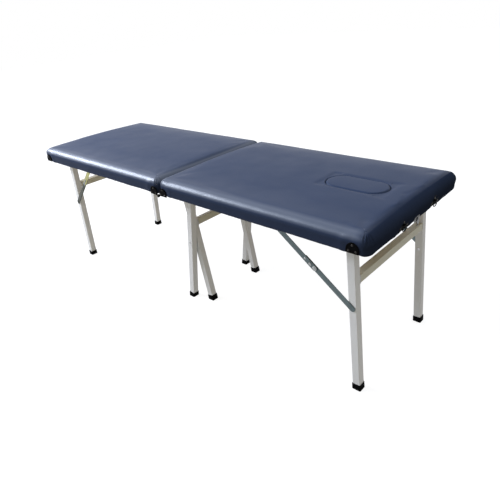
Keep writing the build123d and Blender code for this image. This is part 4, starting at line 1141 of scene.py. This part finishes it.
def make_rings():
    """Strap rings of round bar, each hanging in its plate's lug."""
    hang_z = PLATE_BOTTOM + RING_LUG_RISE
    bar_x = REACH[1] + 0.0052
    outline = ((-0.0122, 0.0), (0.0, 0.0), (0.0122, 0.0), (0.0122, -0.006), (0.0118, -0.0125),
               (0.0070, -0.0180), (0.0, -0.0180), (-0.0070, -0.0180), (-0.0118, -0.0125), (-0.0122, -0.006))
    for side_name, side in SIDES.items():
        curve = bpy.data.curves.new("ring", "CURVE")
        curve.dimensions = "3D"
        spline = curve.splines.new("NURBS")
        spline.points.add(len(outline) - 1)
        for point, (u, v) in zip(spline.points, outline):
            point.co = (bar_x, side * RING_PLATE_Y + u, hang_z + v, 1)
        spline.order_u = 3
        spline.use_cyclic_u = True
        spline.resolution_u = 6
        curve.bevel_depth = 0.0015
        curve.bevel_resolution = 4
        bm = bmesh.new()
        bm.from_mesh(mesh_after_modifiers(add_object("rod", curve)))
        body = f"strap_ring_{side_name}"
        piece_from(bm, f"{body}_bar", body, RING_BLACK, [f"ring_{side_name}"], smooth=60)


HOOK_PIVOT_Y = -0.014
HOOK_PIVOT_Z = FOLD_HEIGHT + 0.0085
STUD_Y = -0.026
STUD_Z = FOLD_HEIGHT + 0.0042
LATCH_PLATE_Z = FOLD_HEIGHT + 0.0105
LATCH_SCREW_SHIFT = 0.0135


def make_latch():
    """Base plates of the closing latch, the hook's rivet and the stud."""
    base = rounded_plate(0.034, 0.019, 0.0020, 0.0030, 5, 0.0005)
    rivet = pin(0.0025, 0.0048)
    head = dome(0.0042, 0.0016, 0.0005)
    stud = lathe(((0.0, 0), (0.0025, 0), (0.0025, 0.0058), (0.0032, 0.0062), (0.0035, 0.0068),
                  (0.0035, 0.0080), (0.0030, 0.0083), (0.0, 0.0083)), 24)
    hook_side = [(rivet, end_wall(1, HOOK_PIVOT_Y, HOOK_PIVOT_Z)),
                 (head, end_wall(1, HOOK_PIVOT_Y, HOOK_PIVOT_Z, 0.0049))]
    stud_side = [(stud, end_wall(-1, -STUD_Y, STUD_Z))]
    for name, half, middle, screw_rise, parts in (
            ("latch_base", 1, HOOK_PIVOT_Y - 0.003, 0.0045, hook_side),
            ("latch_stud", -1, -STUD_Y, 0.0035, stud_side)):
        stamps = [(base, end_wall(half, middle, LATCH_PLATE_Z))] + parts
        for shift in (-LATCH_SCREW_SHIFT, LATCH_SCREW_SHIFT):
            stamps.append((SCREW, end_wall(half, middle + shift, LATCH_PLATE_Z + screw_rise, 0.0018)))
        body = "head_half" if half == 1 else "foot_half"
        stamp(f"{name}_plate", body, LATCH_STEEL, stamps, [name])


for half_name, half in HALVES.items():
    make_cushion(half_name, half)
    make_staples(half_name, half)
    make_end_frame(half_name, half)
    make_stays(half_name, half)
    make_fittings(half_name, half)
make_plug()
make_centre_frames()
make_hinge_pins()
make_rings()
make_latch()
